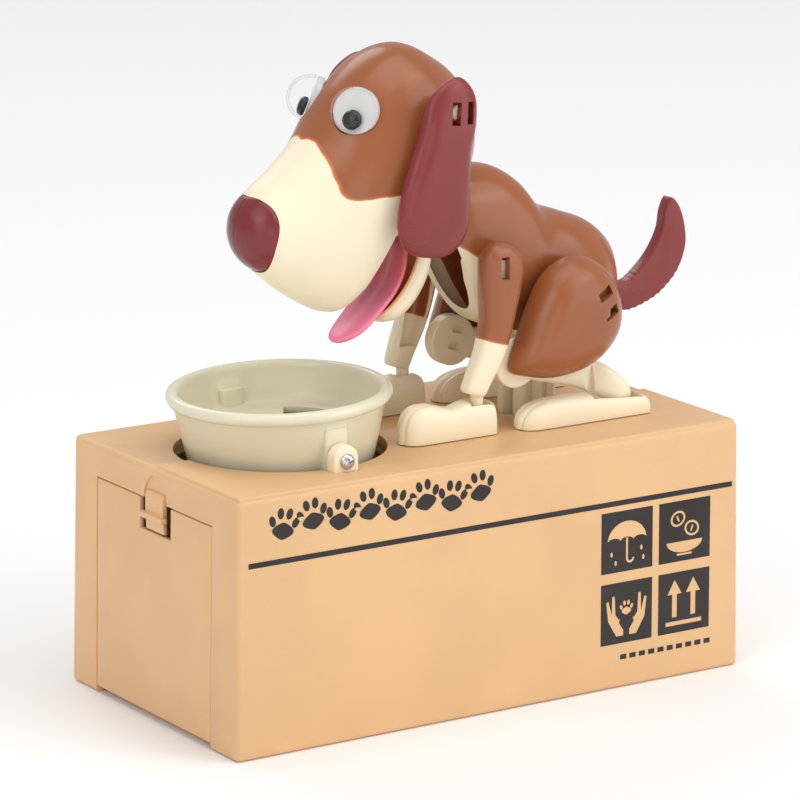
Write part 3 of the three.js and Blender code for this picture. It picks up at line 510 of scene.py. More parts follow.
def carton():
    shell = outer_box("carton_shell")
    join(shell, ease(block(-80.6, 80.6, -42.35, 0, TOP - 2.5, FLAP), 0.7, 3))
    cut(shell, drafted("hollow", HALF_LENGTH - WALL, HALF_WIDTH - WALL, -0.01, TOP - WALL))
    post_x, post_y, post_radius = 74, 36, 3.2
    corners = [(x, y) for x in (-post_x, post_x) for y in (-post_y, post_y)]
    join(shell, *[rod("Z", corner, post_radius, 2.8, TOP - 1, 32) for corner in corners])
    across, high, low = 6.0, 7.4, 60.0
    turns = np.linspace(0, math.pi, 25)
    arch = [(TAB_Y + across * math.cos(t), DOOR_HIGH + high * math.sin(t)) for t in turns]
    arch += [(TAB_Y - across, low), (TAB_Y + across, low)]
    finger_recess = tube_skin("recess", [[(x, y, z) for y, z in arch] for x in (END_OUT, -80.9)])
    x, lug_slot, gap = BOWL[0], 4.1, 0.3
    cut(
        shell,
        block(END_OUT, END_IN, -DOOR_HALF - gap, DOOR_HALF + gap, -1, DOOR_HIGH + 0.4),
        finger_recess,
        rod("Z", (x, 0), BOWL_HOLE, LID_LOW, LID_HIGH, 128),
        block(x - lug_slot, x + lug_slot, -33.7, 33.7, LID_LOW, LID_HIGH),
        block(29.2, 46.4, -4.8, 4.8, LID_LOW, LID_HIGH),
    )
    ease(shell, 0.22, 2, 50)
    put(shell, "housing", "tan", "housing_shell", angle=28)


def door():
    end_wall = block(END_OUT, -80.2, -DOOR_HALF, DOOR_HALF, DOOR_LOW, DOOR_HIGH)
    panel = keep(outer_box("coin_door_panel"), end_wall)
    cut(panel, block(END_OUT, END_IN, TAB_Y - 8, TAB_Y + 8, 52.4, 62))
    ease(panel, 0.35, 3, 50)
    outline = [
        (-80.7, 52.9), (-81.7, 53.1), (-81.9, 56.2), (-83.4, 56.4), (-83.4, 57.6), (-82.0, 58.0),
        (-82.0, 62.4), (-81.6, 63.6), (-80.7, 64.0),
    ]
    tab = plate("coin_door_tab", outline, TAB_Y - TAB_HALF, TAB_Y + TAB_HALF)
    lip_half = 6.2
    join(tab, block(-83.4, -81.6, TAB_Y - lip_half, TAB_Y + lip_half, 56.5, 57.8))
    ease(tab, 0.35, 3, 40)
    put(panel, "door", "tan", "coin_door")
    put(tab, "door", "tan")
    for side, end in ((-1, "front"), (1, "rear")):
        reach = span(side, DOOR_HALF - 2, DOOR_HALF + 1.5)
        put(rod("Y", DOOR, 1.1, *reach, 24, 0.2, f"coin_door_pin_{end}"), "door", "tan")


carton()
door()

# ---- printed front ----

INK = 0.05  # how far a print stands proud of the face


def front_y(z):
    return -(HALF_WIDTH - DRAFT * z / TOP)


def print_shape(name, loops):
    """A flat print on the front face. loops are outlines in [x, z]; a loop inside another is a hole."""
    curve = bpy.data.curves.new(name, "CURVE")
    curve.dimensions, curve.fill_mode = "2D", "BOTH"
    curve.extrude = INK * MM
    for loop in loops:
        line = curve.splines.new("POLY")
        line.points.add(len(loop) - 1)
        for point, (x, z) in zip(line.points, loop):
            point.co = (x * MM, z * MM, 0, 1)
        line.use_cyclic_u = True
    shape = add(name, curve)
    mesh = applied(shape)
    bpy.data.objects.remove(shape)
    piece = add(name, mesh)
    x, z, out = points_of(piece).T
    move_points(piece, np.stack([x, front_y(z) - out, z], 1))
    put(piece, "housing", "ink", angle=40)


def circle(x, z, rx, rz=None, start=0.0, end=360.0, count=40):
    turns = np.radians(np.linspace(start, end, count, endpoint=abs(end - start) < 359))
    return [(x + rx * math.cos(t), z + (rz or rx) * math.sin(t)) for t in turns]


def rectangle(x0, x1, z0, z1):
    return [(x0, z0), (x1, z0), (x1, z1), (x0, z1)]


def turned(loop, centre, degrees):
    (cx, cz), c, s = centre, math.cos(math.radians(degrees)), math.sin(math.radians(degrees))
    return [(cx + (x - cx) * c - (z - cz) * s, cz + (x - cx) * s + (z - cz) * c) for x, z in loop]


def paw_print(x, z, size, tilt):
    """Loops of a paw print: a pad and four toes."""
    wide, pinch, high, drop = 0.34 * size, 0.05 * size, 0.27 * size, 0.2 * size
    pad = [
        (x + wide * math.cos(t) + pinch * math.cos(3 * t), z - drop + high * math.sin(t))
        for t in np.radians(np.arange(0, 360, 9))
    ]
    toes = []
    for across, up, lean in ((-0.42, 0.08, 24), (-0.16, 0.34, 8), (0.16, 0.34, -8), (0.42, 0.08, -24)):
        centre = (x + size * across, z + size * up)
        toes.append(turned(circle(*centre, size * 0.115, size * 0.175, count=24), centre, lean))
    return [turned(loop, (x, z), tilt) for loop in [pad, *toes]]


def umbrella(x, z):
    """Keep dry: a canopy with a scalloped hem, a hooked handle and drops."""
    canopy = circle(x, z, 6.6, 5.6, 0, 180, 30)
    for k in range(3):
        canopy += circle(x - 4.4 + 4.4 * k, z, 2.2, 1.1, 180, 0, 10)[1:]
    outer = circle(x + 1.1, z - 5.0, 1.45, 1.45, 180, 360, 12)
    inner = circle(x + 1.1, z - 5.0, 0.75, 0.75, 360, 180, 12)
    handle = [(x - 0.35, z + 0.9), *outer, *inner, (x + 0.35, z + 0.9)]
    falling = ((-5.2, -3.4), (4.9, -2.6), (5.6, -5.4), (-3.8, -6.0))
    drops = [circle(x + a, z + b, 0.42, 0.75, count=16) for a, b in falling]
    return [canopy, handle, *drops]


def coins(x, z):
    """Two coins over a bowl."""
    rim = z - 3.0
    loops = [
        [(x - 6.2, rim), *circle(x, rim, 6.2, 3.2, 180, 360, 24), (x + 6.2, rim)],
        rectangle(x - 2.6, x + 2.6, z - 7.0, z - 6.4),
    ]
    for a, b, lean in ((x - 2.3, z + 3.6, 25), (x + 2.5, z + 0.4, -20)):
        bar = rectangle(a - 0.3, a + 0.3, b - 0.9, b + 0.9)
        coin = (circle(a, b, 2.6, 2.2), circle(a, b, 1.9, 1.55), bar)
        loops += [turned(loop, (a, b), lean) for loop in coin]
    return loops


def hands(x, z):
    """Handle with care: two cupped hands round a paw print."""
    palm = [
        (1.0, -6.6), (3.4, -6.6), (6.2, -2.0), (6.9, 3.4), (6.1, 3.8), (5.0, -0.2), (4.9, 4.9), (4.0, 5.0),
        (3.7, -0.4), (2.6, -1.9), (2.1, -1.4), (2.5, -2.9), (1.0, -5.0),
    ]
    loops = [[(x + side * a, z + b) for a, b in palm] for side in (-1, 1)]
    return loops + paw_print(x, z + 1.2, 4.2, 0)


def arrows(x, z):
    """This way up: two arrows over a bar."""
    loops = [rectangle(x - 6.2, x + 6.2, z - 6.6, z - 5.4)]
    for side in (-1, 1):
        c = x + side * 3.2
        loops.append([
            (c - 0.85, z - 4.2), (c + 0.85, z - 4.2), (c + 0.85, z + 2.4), (c + 2.5, z + 2.4), (c, z + 6.6),
            (c - 2.5, z + 2.4), (c - 0.85, z + 2.4),
        ])
    return loops


def printed_front():
    print_shape("print_bar", [rectangle(-78.4, 79.5, 52.2, 53.7)])
    count, first, last, row, hop, size, tilt = 8, -67.5, -5.5, 63.4, 0.7, 8.6, 10
    marks = []
    for k in range(count):
        x = first + (last - first) * k / (count - 1)
        sign = 1 if k % 2 else -1
        marks += paw_print(x, row + sign * hop, size, sign * tilt)
    print_shape("print_paws", marks)
    columns, rows = ((34.8, 52.2), (54.4, 72.0)), ((33.3, 50.6), (12.9, 30.3))
    squares = (("umbrella", umbrella), ("coins", coins), ("hands", hands), ("arrows", arrows))
    for k, (name, motif) in enumerate(squares):
        (x0, x1), (z0, z1) = columns[k % 2], rows[k // 2]
        print_shape(f"print_{name}", [rectangle(x0, x1, z0, z1), *motif((x0 + x1) / 2, (z0 + z1) / 2)])
    start, length, step = 41.5, 2.1, 3.2
    dashes = [rectangle(start + step * k, start + length + step * k, 8.2, 9.6) for k in range(10)]
    print_shape("print_dashes", dashes)


printed_front()

# ---- bowl ----

TILT = -2.0  # the empty bowl rests a little towards the hound


def bowl():
    rim, roll, height, floor, skirt, wall, foot = 30.8, 1.8, 12.0, 3.0, -8.0, 1.8, 24.8
    lip = rim - roll
    turns = np.radians(np.linspace(-62, 180, 18))
    arc = [(lip + roll * math.cos(t), height + roll * math.sin(t)) for t in turns]
    slope = (lip + 0.2 - foot) / (height - roll - skirt)
    outside = [(0, skirt), (foot, skirt), (foot + slope * 9, skirt + 9), (lip - 0.15, height - roll - 0.1)]
    inside = [
        (lip - 1.9, height - 1.2), (lip - 3.2 + 0.3, floor + 3.4), (lip - 3.3, floor + 1.7),
        (lip - 3.9, floor + 0.6), (lip - 5.0, floor + 0.08), (lip - 6.0, floor), (0, floor),
    ]
    piece = lathe("bowl_body", outside + arc + inside, 160)
    below, well = skirt - 1, foot - wall
    cut(piece, lathe("under", [(0, below), (well, below), (well + 1.6, floor - wall), (0, floor - wall)]))
    pads = cut(block(-3.4, 3.4, -28.7, 28.7, skirt + 1, 8), block(-4, 4, -24, 24, -20, 20))
    join(piece, ease(pads, 0.5, 3))
    port_radius, port_x, port_half = 18.8, 5, 6.5
    turns = np.radians(np.linspace(-55, 55, 24))
    port = [(port_radius * math.cos(t), port_radius * math.sin(t)) for t in turns]
    port += [(port_x, port_half), (port_x, -port_half)]
    cut(piece, tube_skin("port", [[(x, y, z) for x, y in port] for z in (-1, 8)]))
    ease(piece, 0.25, 2, 55)
    place(piece, (BOWL[0], 0, BOWL[1]), Matrix.Rotation(math.radians(TILT), 4, "Y"))
    put(piece, "tipping_bowl", "bowl", "bowl", angle=40)


def cradle():
    x, z = BOWL
    ring = rod("Z", (x, 0), 33.6, 66, TOP - WALL - 0.3, 96, name="cradle_ring")
    cut(ring, rod("Z", (x, 0), 29.6, 61, 72, 96))
    radius, turns = 3.8, np.linspace(0, math.pi, 32)
    middle = z + 4.3 - radius
    outline = [(x - radius, 66.2), (x + radius, 66.2)]
    outline += [(x + radius * math.cos(t), middle + radius * math.sin(t)) for t in turns]
    for side in (-1, 1):
        join(ring, ease(plate("lug", outline, *span(side, 29.3, 33.3)), 0.45, 3, 40))
    put(ring, "housing", "cream", "bowl_cradle")


def bowl_screw(side, node):
    """A pan-head screw with a cross recess."""
    stem = [(0, -8.5), (1.1, -8.5), (1.1, 0.0)]
    pan = [(2.05, 0), (2.1, 0.35), (1.9, 0.8), (1.5, 1.1), (0.8, 1.28), (0, 1.32)]
    piece = lathe(f"{node}_head", stem + pan, 48)
    long, short = 1.25, 0.3
    cross = ((long, short), (short, long))
    cut(piece, *(ease(block(-a, a, -b, b, 0.55, 2), 0.08, 2) for a, b in cross))
    turn = Matrix.Rotation(math.radians(90 * -side), 4, "X") @ Matrix.Rotation(math.radians(20), 4, "Z")
    place(piece, (BOWL[0], side * 33.45, BOWL[1]), turn)
    put(piece, "tipping_bowl", "steel", node)


bowl()
cradle()
bowl_screw(-1, "bowl_screw_front")
bowl_screw(1, "bowl_screw_rear")

# ---- pedestal and paws ----


def pedestal():
    flange = block(27, 49, -8, 8, 66.4, TOP - WALL - 0.3, "pedestal_posts")
    low, outer = 66.5, 4.5
    for side in (-1, 1):
        cheek = block(33, 46, *span(side, 2.6, outer), low, 86)
        ribs = [rod("Z", (x, side * outer), 1.5, low, 85, 32) for x in (34.6, 39.6, 44.4)]
        join(flange, ease(cheek, 0.5, 3), *ribs)
    cut(flange, block(29.5, 45.5, -2.3, 2.3, 60, 70))
    put(flange, "housing", "cream", "pedestal")


PAW_HALF, TOE_LENGTH, GROOVE, THIN = 4.7, 9.0, 0.55, 0.02


def paw(name, side, top_line, y, pocket, node):
    """A paw: a flat-bottomed body whose top follows top_line, with toe grooves at its front end."""
    floor = (FLAP if side < 0 else TOP) + 0.3
    line = np.asarray(top_line, float)
    x0, x1 = line[0, 0], line[-1, 0]
    xs = x0 + (x1 - x0) * (1 - np.cos(np.linspace(0, math.pi, 90))) / 2
    shape = spline(line, 400)
    tops = np.interp(xs, shape[:, 0], shape[:, 1])
    c, s = superellipse(np.linspace(0, math.pi, 44), 3.4)
    rings = []
    for x, top in zip(xs, tops):
        near, far = min(1.0, (x - x0) / 6.5), min(1.0, (x1 - x) / 2.4)
        width = THIN
        if near > 0 and far > 0:
            width = max(PAW_HALF * (1 - (1 - near) ** 2.6) ** 0.5 * (1 - (1 - far) ** 3) ** 0.5, THIN)
        high = max(top - floor, THIN)
        ys, zs = width * c, high * s
        toes = np.clip((x0 + TOE_LENGTH - x) / TOE_LENGTH, 0, 1) ** 0.6
        grooves = sum(np.exp(-(((ys / PAW_HALF) - k) / 0.11) ** 2) for k in (-0.34, 0.34))
        depth = grooves * GROOVE * toes
        zs = zs - depth * np.clip(zs / max(high, 0.1), 0.12, 1)
        upper = np.stack([x + depth * 1.1 * (1 - near), y + ys, floor + np.maximum(zs, 0)], 1)
        sole = y + np.linspace(-width, width, 12)[1:-1]
        lower = np.stack([np.full(10, x), sole, np.full(10, floor)], 1)
        rings.append(np.vstack([upper, lower]))
    piece = tube_skin(name, rings)
    cut(piece, block(*pocket))
    ease(piece, 0.3, 2, 60)
    put(piece, "housing", "cream", node)


FRONT_TOP = [
    (-14.8, 71.6), (-14.7, 75.4), (-13.2, 79.3), (-10.2, 81.4), (-6.3, 81.7), (-2.2, 80.6), (1.5, 79.8),
    (5.4, 80.9), (9, 81.1), (13.6, 80.5), (15.3, 78.6), (15.5, 71.6),
]
HIND_TOP = [
    (21.9, 71.6), (22.3, 74.2), (25.4, 77.2), (30, 78.6), (36, 79), (45, 78.6), (55, 77.6), (62.4, 76.7),
    (64.9, 75.2), (65.4, 71.6),
]


def paws():
    """Each paw has a pocket in its top for the leg: from x0 to x1, down to a depth."""
    for name, side in SIDES.items():
        y = side * 17.75
        pocket = (6.6, 13.8, *sorted((y - side * 2.2, y + side * 3.4)), 76.6, 90)
        paw(f"forepaw_{name}", side, FRONT_TOP, y, pocket, f"front_paw_{name}")
        y = side * 20.6
        pocket = (45.5, 62.6, *sorted((y - side * 5, y + side * 3.5)), 72.9, 90)
        paw(f"hindpaw_{name}", side, HIND_TOP, y, pocket, f"hind_paw_{name}")


pedestal()
paws()

# ---- legs ----


def slots(centre, tilt, gap, size, y0, y1):
    """Two short slots side by side across the line at tilt."""
    made = []
    a = math.radians(tilt)
    for k in (-0.5, 0.5):
        x = centre[0] - math.sin(a) * gap * k
        z = centre[1] + math.cos(a) * gap * k
        tool = block(-size[0] / 2, size[0] / 2, y0, y1, -size[1] / 2, size[1] / 2)
        made.append(place(tool, (x, 0, z), Matrix.Rotation(-a, 4, "Y")))
    return made


LEG_Y = -19.7  # middle plane of the right front leg
FORELEG = [
    [15.6, LEG_Y, 124.6, 0, 0.0, 0.0], [15.8, LEG_Y, 123.2, 0, 3.8, 2.9], [16.2, LEG_Y, 121.2, 0, 5.8, 3.8],
    [16.6, LEG_Y, 117, 0, 6.5, 4.1], [16.4, LEG_Y, 112, 0, 6.1, 4.0], [15.7, LEG_Y, 105, 0, 5.1, 3.9],
    [14.5, LEG_Y, 99, -4, 4.6, 3.8], [13.1, LEG_Y, 94.4, -8, 4.3, 3.6],
    [9.8, LEG_Y + 0.4, 87, -15, 3.7, 3.2], [8.3, LEG_Y + 0.7, 83.4, -17, 3.3, 2.9],
    [8.1, LEG_Y + 0.7, 82.9, -17, 2.9, 2.5],
]
CHANNEL = [
    [15, LEG_Y + 4, 110, 0, 3.6, 5], [13.2, LEG_Y + 4, 98, 0, 3.2, 5], [10.4, LEG_Y + 4, 89, 0, 2.6, 4.6],
]


def front_leg():
    limb = loft("foreleg_right", FORELEG, 80, 90, 2.9)
    hole = rod("Y", SHOULDER, 3, LEG_Y - 2, LEG_Y + 8)
    cut(limb, loft("channel", CHANNEL, 32, 20, 3.0), hole, block(14.2, 16.9, -30, -21.5, 114.8, 121.0))
    join(limb, rod("Z", (10, LEG_Y + 1.3), 1.8, 78.4, 86, 32))
    points = points_of(limb)
    boundary = 97.4 - 0.3 * (points[:, 0] - 13.4)
    inner_face = points[:, 1] - (LEG_Y + 3.2)
    return paint(limb, np.maximum(boundary - points[:, 2], inner_face))


SHIN_Y, HEEL_Y = -15.7, -20.6
SHANK = [
    [24, SHIN_Y, 89.5, 70, 4, 2], [34, SHIN_Y, 87, 70, 4.6, 2.1], [43, SHIN_Y, 84.8, 68, 4.6, 2.1],
    [47.5, SHIN_Y - 0.3, 83.2, 66, 4.5, 2.3], [51.6, SHIN_Y - 2.6, 81.2, 62, 4.4, 2.9],
    [56.2, HEEL_Y, 77.8, 50, 3.5, 2.9], [58.6, HEEL_Y, 75.9, 45, 1.9, 1.9],
    [59.4, HEEL_Y, 75.2, 45, 0.3, 0.3],
]


def shin():
    knee = rod("Y", KNEE, 7.2, SHIN_Y - 2.1, SHIN_Y + 2.1, 72, 0.4)
    shank = loft("shank_right", SHANK, 48, 60, 2.3)
    join(shank, knee)
    cut(shank, block(0, 49, -40, -17.9, 60, 120))
    cut(shank, *slots((24.9, 90.1), -16, 4.8, (3.7, 2.0), -15.2, -10))
    return shank


THIGH = [
    (37, 117.2), (44.6, 117.6), (52, 112.6), (56.4, 104.4), (56.4, 96.6), (52.4, 90.4), (45, 85.8),
    (34, 84.2), (25.5, 85.6), (21.2, 87.0), (20.2, 88.6), (22.2, 95.6), (25.6, 104.6), (30.4, 113),
]


def thigh():
    inner, outer, centre, thinner = -18.2, -28.4, (37, 102), 0.9
    turns = np.linspace(0, math.pi / 2, 26)[1:-1]
    dome_layers = [(inner + (outer - inner) * math.sin(t), math.cos(t) ** 0.62) for t in turns]
    dome_layers.append((outer, 0.03))
    layers = [(inner, 0.985), (inner - 0.35, 1.0)] + dome_layers
    space = [(inner + 1, thinner)]
    space += [(inner - 0.6 + (y - inner) * 0.8, scale * thinner) for y, scale in dome_layers]
    outline = spline(THIGH, 144, True)
    dome = pillow("haunch_right", outline, centre, layers)
    cut(dome, pillow("hollow", outline, centre, space))
    hub = join(rod("Y", HIP, 5, -27, inner, 48), rod("Y", KNEE, 4, -24, inner, 48))
    join(dome, keep(hub, pillow("limit", outline, centre, layers)))
    cut(dome, rod("Y", HIP, 3.4, -23.4, -10), *slots((47.9, 105.1), 22, 5.9, (5.4, 2.8), -31, -24.2))
    return dome


def limbs():
    makers = (
        ("foreleg", front_leg, "coat", "front_leg"), ("shank", shin, "cream", "shin"),
        ("haunch", thigh, "brown", "thigh"),
    )
    for body, maker, look, node in makers:
        right = maker()
        left = mirror(right, f"{body}_left")
        put(right, f"{body}_right", look, f"{node}_right")
        put(left, f"{body}_left", look, f"{node}_left")


limbs()

# ---- torso ----

TORSO = [
    [3.5, 0, 128, 90, 0, 0], [6, 0, 127, 90, 10.4, 10.8], [10, 0, 125.6, 90, 15.4, 13.0],
    [16, 0, 122, 90, 20.8, 14.2], [25, 0, 119, 90, 23, 15], [32, 0, 115, 90, 23, 15.2],
    [39, 0, 109, 90, 21.6, 15.2], [48, 0, 106, 90, 21, 15.8], [56, 0, 103.4, 90, 20.6, 14.2],
    [62.4, 0, 101.8, 90, 17.6, 10.4], [66.4, 0, 101.6, 90, 12.4, 5.6], [68.6, 0, 102, 90, 0, 0],
]
# What is cut away from the torso, in [x, z]: all below the belly line, and the throat between its sides.
BELLY = [
    (-30, 134), (-4, 123.5), (2.9, 117.6), (7, 113.8), (10.2, 109.8), (12.5, 105), (15, 100.5), (24, 97),
    (45, 94), (90, 92), (90, 60), (-30, 60),
]
THROAT = [(-10, 137), (10.4, 137), (10.4, 118), (12.6, 112), (15.4, 106), (18.5, 100), (22, 94), (-10, 94)]
BIB = [(-6, 130), (4, 124.6), (8.7, 122.7), (13.7, 119.3), (19, 113.4), (23, 104), (26, 94)]


def shrunk(sections, wall):
    """The sections of the space inside a wall."""
    s = np.asarray(sections, float).copy()
    middle = (s[0, [0, 2]] + s[-1, [0, 2]]) / 2
    length = np.linalg.norm(s[0, [0, 2]] - s[-1, [0, 2]])
    s[:, [0, 2]] = middle + (s[:, [0, 2]] - middle) * (1 - 2 * wall / length)
    s[:, 4:6] = np.maximum(s[:, 4:6] - wall, 0)
    return s


def torso():
    outer = loft("torso_body", TORSO, 144, 140, 2.35)
    inner = loft("inner", shrunk(TORSO, 1.7), 64, 60, 2.35)
    cut(outer, inner, plate("belly", BELLY, -60, 60), plate("throat", THROAT, -11.8, 11.8))
    paint(outer, -line_distance(points_of(outer)[:, [0, 2]], BIB))
    put(outer, "torso", "coat", "torso_shell_right", "torso_shell_left", angle=40)
    bosses = (("shoulder_bosses", SHOULDER, 12.4, 21.2), ("hip_bosses", HIP, 13.6, 22.8))
    for name, at, start, end in bosses:
        boss = rod("Y", at, 2.6, -end, end, 32, name=name)
        put(cut(boss, block(0, 60, -start, start, 90, 130)), "torso", "cream")


TAIL = [
    (72.6, 103.8), (77.2, 107), (81.4, 111.4), (84.6, 117.3), (85.6, 122.8), (87.6, 126.2), (90, 124.2),
    (92.2, 119), (92.9, 112.1), (90.2, 105), (84.4, 99.4), (78.4, 96.6), (73, 95.4), (69, 96), (65.6, 98),
    (65.2, 101.4), (68, 103.2),
]


def tail():
    """A flat blade with small notches along its lower edge."""
    outline = spline(TAIL, 220, True)
    x, z = outline.T
    depth, waves = 0.14, 62
    notches = depth * np.sin(np.arctan2(z - 118, x - 74) * waves) * ((z < 106) & (x > 73))
    away = outline - np.array([76, 116])
    away /= np.linalg.norm(away, axis=1)[:, None]
    blade = plate("tail_blade", outline + away * notches[:, None], -2, 2)
    put(ease(blade, 0.5, 3, 50), "torso", "red", "tail", angle=60)


def neck():
    x, z = NECK
    outline = [(12.6, 128.4), (12.6, 135.4), (x + 2, z + 3), (x - 3, z), (x - 1, z - 3), (8, 128.4)]
    stalk = plate("neck_stalk", outline, -4, 4)
    join(stalk, rod("Y", NECK, 3.2, -4.05, 4.05, 40), rod("Y", NECK, 1.9, -8.4, 8.4, 32, 0.2))
    ease(stalk, 0.3, 2, 50)
    put(stalk, "torso", "cream", "neck_link")


torso()
tail()
neck()

# ---- head ----

HEAD = [
    [16.4, 0, 153, 90, 0, 0], [15.0, 0, 153, 90, 8, 7.4], [12.0, 0, 153, 90, 14.6, 13.4],
    [5, 0, 152, 90, 22, 19], [-6, 0, 149.6, 90, 28.8, 21.4], [-15, 0, 145.6, 90, 30.4, 20.8],
    [-24, 0, 138.2, 92, 29.8, 19.4], [-32, 0, 131.2, 96, 24.2, 16.6], [-41, 0, 129.4, 98, 18.0, 13.6],
    [-48.4, 0, 130, 98, 12.6, 10.6], [-52.4, 0, 130.4, 98, 8, 7], [-54, 0, 130.8, 98, 0, 0],
]
# The mouth and the neck's opening, cut away right across the head, in [x, z].
HEAD_OPENING = [
    (-21, 98), (-21.6, 109.4), (-20.4, 118), (-16.5, 129), (-12, 133), (-4, 134.6), (4, 137), (10, 144.6),
    (18, 152), (34, 152), (34, 98),
]
NOSE_CENTRE, NOSE_RADII = np.array([-45.5, 0, 131.4]), np.array([11.0, 11.6, 11.8])
# The nose plug seen from the front, as [y, z]: a triangle with round corners that points down.
NOSE_LINE = [
    (0, 140.8), (4.4, 140.5), (8, 138.6), (10.0, 135.2), (10.3, 131), (8.6, 125.6), (5.6, 121.9),
    (2.6, 120.5), (0, 120.3),
]
EYE_RADIUS = 6.5
EYE_AXIS = np.array([-0.78, -0.5, 0.36])
EYE_CENTRE = np.array([-25.0, -11.0, 163.2])
# Lower edge of the brown: its height at each distance from the middle plane.
BLAZE = [
    (0, 154.8), (2.5, 155.2), (5.1, 154.8), (8.9, 152.1), (11.7, 149.3), (14.4, 144.8), (15.8, 141.9),
    (17.2, 140.5), (18.8, 140.5), (20, 140.9), (24, 140.9),
]


def ball(name, centre, radii, sides, rows):
    turns = np.linspace(-math.pi / 2, math.pi / 2, rows)
    profile = [(max(math.cos(t), 0), math.sin(t)) for t in turns]
    profile[0], profile[-1] = (0, -1), (0, 1)
    piece = lathe(name, profile, sides)
    points = points_of(piece)
    move_points(piece, points * radii + centre)
    return piece


def eye_axis(side):
    return Vector((EYE_AXIS[0], side * -EYE_AXIS[1], EYE_AXIS[2])).normalized()


def at_eye(piece, side):
    """Stands a piece that was made about +Z on the eye."""
    turn = Vector((0, 0, 1)).rotation_difference(eye_axis(side)).to_matrix().to_4x4()
    return place(piece, (EYE_CENTRE[0], side * -EYE_CENTRE[1], EYE_CENTRE[2]), turn)


def head():
    outer = loft("head_body", HEAD, 200, 200, 2.04)
    inner = loft("inner", shrunk(HEAD, 1.9), 64, 60, 2.08)
    cut(outer, inner, plate("opening", HEAD_OPENING, -60, 60))
    seat_radius, seat_depth, clear_of_head = EYE_RADIUS + 0.3, -1.9, 30
    seat = [(0, seat_depth), (seat_radius, seat_depth), (seat_radius, clear_of_head), (0, clear_of_head)]
    for side in SIDES.values():
        cut(outer, at_eye(lathe("seat", seat, 64), side))
    cut(outer, nose_prism(0.16))
    points = points_of(outer)
    away = np.abs(points[:, 1])
    at, edge = spline(BLAZE, 200).T
    lean = np.interp(away, at, np.abs(np.gradient(edge, at)))
    paint(outer, (np.interp(away, at, edge) - points[:, 2]) / np.sqrt(1 + lean**2))
    put(outer, "head", "coat", "head_shell_right", "head_shell_left", angle=40)
    ribs = (("4", NECK, 5.6, 7.2, 168, 4, 2.3), ("3", JAW, 13.8, 15.4, 146, 3.4, 1.85))
    for name, side in SIDES.items():
        for mark, (x, z), near, far, top, half, hole in ribs:
            low, high = span(side, near, far)
            rib = block(x - half, x + half, low, high, z - 4, top, f"head_rib_{name}_{mark}")
            put(cut(rib, rod("Y", (x, z), hole, low - 1, high + 1, 24)), "head", "brown")
        pin = rod("Y", EAR, 2.2, *span(side, 17.5, 25.6), 32, 0.3, f"ear_pin_{name}")
        put(pin, "head", "cream")


def nose_prism(grow):
    """The nose's outline carried along X through the muzzle's end."""
    left = [(-y, z) for y, z in NOSE_LINE[-2:0:-1]]
    outline = spline(NOSE_LINE + left, 120, True)
    outline = inset(outline, -grow)
    return tube_skin("prism", [[(x, y, z) for y, z in outline] for x in (-70, -44.4)])


def nose():
    plug = keep(ball("nose_ball", NOSE_CENTRE, NOSE_RADII, 128, 90), nose_prism(0))
    ease(plug, 0.35, 3, 40)
    seam = block(-60, -50, -0.06, 0.06, 100, 160)
    put(cut(plug, seam), "head", "nose", "nose", angle=50)


def eyes():
    r, seat, wall, roll = EYE_RADIUS, 0.3, 0.6, 2.7
    w = r - wall
    arc = np.radians(np.linspace(0, 90, 20))[:-1]
    dome = [(r * math.cos(t), seat + r * math.sin(t)) for t in arc] + [(0, seat + r)]
    dome += [(0, seat + w)] + [(w * math.cos(t), seat + w * math.sin(t)) for t in arc[::-1]]
    socket = [(0, -1.6), (r - 0.2, -1.6), (r, -1.4), (r, -0.15), (r - 0.15, 0), (0, 0)]
    button = [(0, 0.5), (2.4, 0.5), (2.7, 0.9), (2.7, 1.5), (2.45, 2.1), (1.7, 2.6), (0, 2.85)]
    for name, side in SIDES.items():
        put(at_eye(lathe(f"goggle_{name}", dome, 72), side), "head", "clear", f"eye_dome_{name}", angle=50)
        put(at_eye(lathe(f"goggle_cup_{name}", socket, 64), side), "head", "white", f"eye_socket_{name}")
        pupil = at_eye(lathe(f"pupil_{name}", button, 48), side)
        down = Vector((0, 0, -1))
        down -= eye_axis(side) * eye_axis(side).dot(down)
        place(pupil, down.normalized() * roll)
        put(pupil, f"loose_pupil_{name}", "black", f"eye_pupil_{name}", angle=45)


EAR_LINE = [
    (-0.9, 172.1), (4, 167.6), (4.6, 160), (3, 152), (2.5, 140), (1.4, 128.6), (-3.5, 124), (-10, 123.8),
    (-16.4, 126), (-19.6, 131.4), (-18.6, 142), (-14, 155), (-9.4, 167.6),
]


def ears():
    """Long flaps with a crowned face and rounded edges."""
    middle, crown, hollow, tip = -24.1, 3.9, 1.7, (-28.0, 0.03)
    steps = np.linspace(0, math.pi / 2, 15)[:-1]
    face = [(middle - crown * math.sin(t), math.cos(t) ** 0.55) for t in steps[1:]] + [tip]
    back = [(middle + hollow * math.sin(t), 1 - 0.20 * (1 - math.cos(t))) for t in steps[::-1]]
    right = pillow("earflap_right", spline(EAR_LINE, 160, True), (-6.5, 148), back + face)
    tools = [rod("Y", EAR, 2.5, -25.5, -20, 32)]
    for x, z, across, high in ((-3.5, 162.8, 2.7, 6.2), (1.2, 162.6, 2.1, 6.0)):
        tool = block(-across / 2, across / 2, -30, -24.4, -high / 2, high / 2)
        tools.append(place(tool, (x, 0, z), Matrix.Rotation(math.radians(6), 4, "Y")))
    cut(right, *tools)
    left = mirror(right, "earflap_left")
    put(right, "flap_right", "red", "ear_right", angle=45)
    put(left, "flap_left", "red", "ear_left", angle=45)


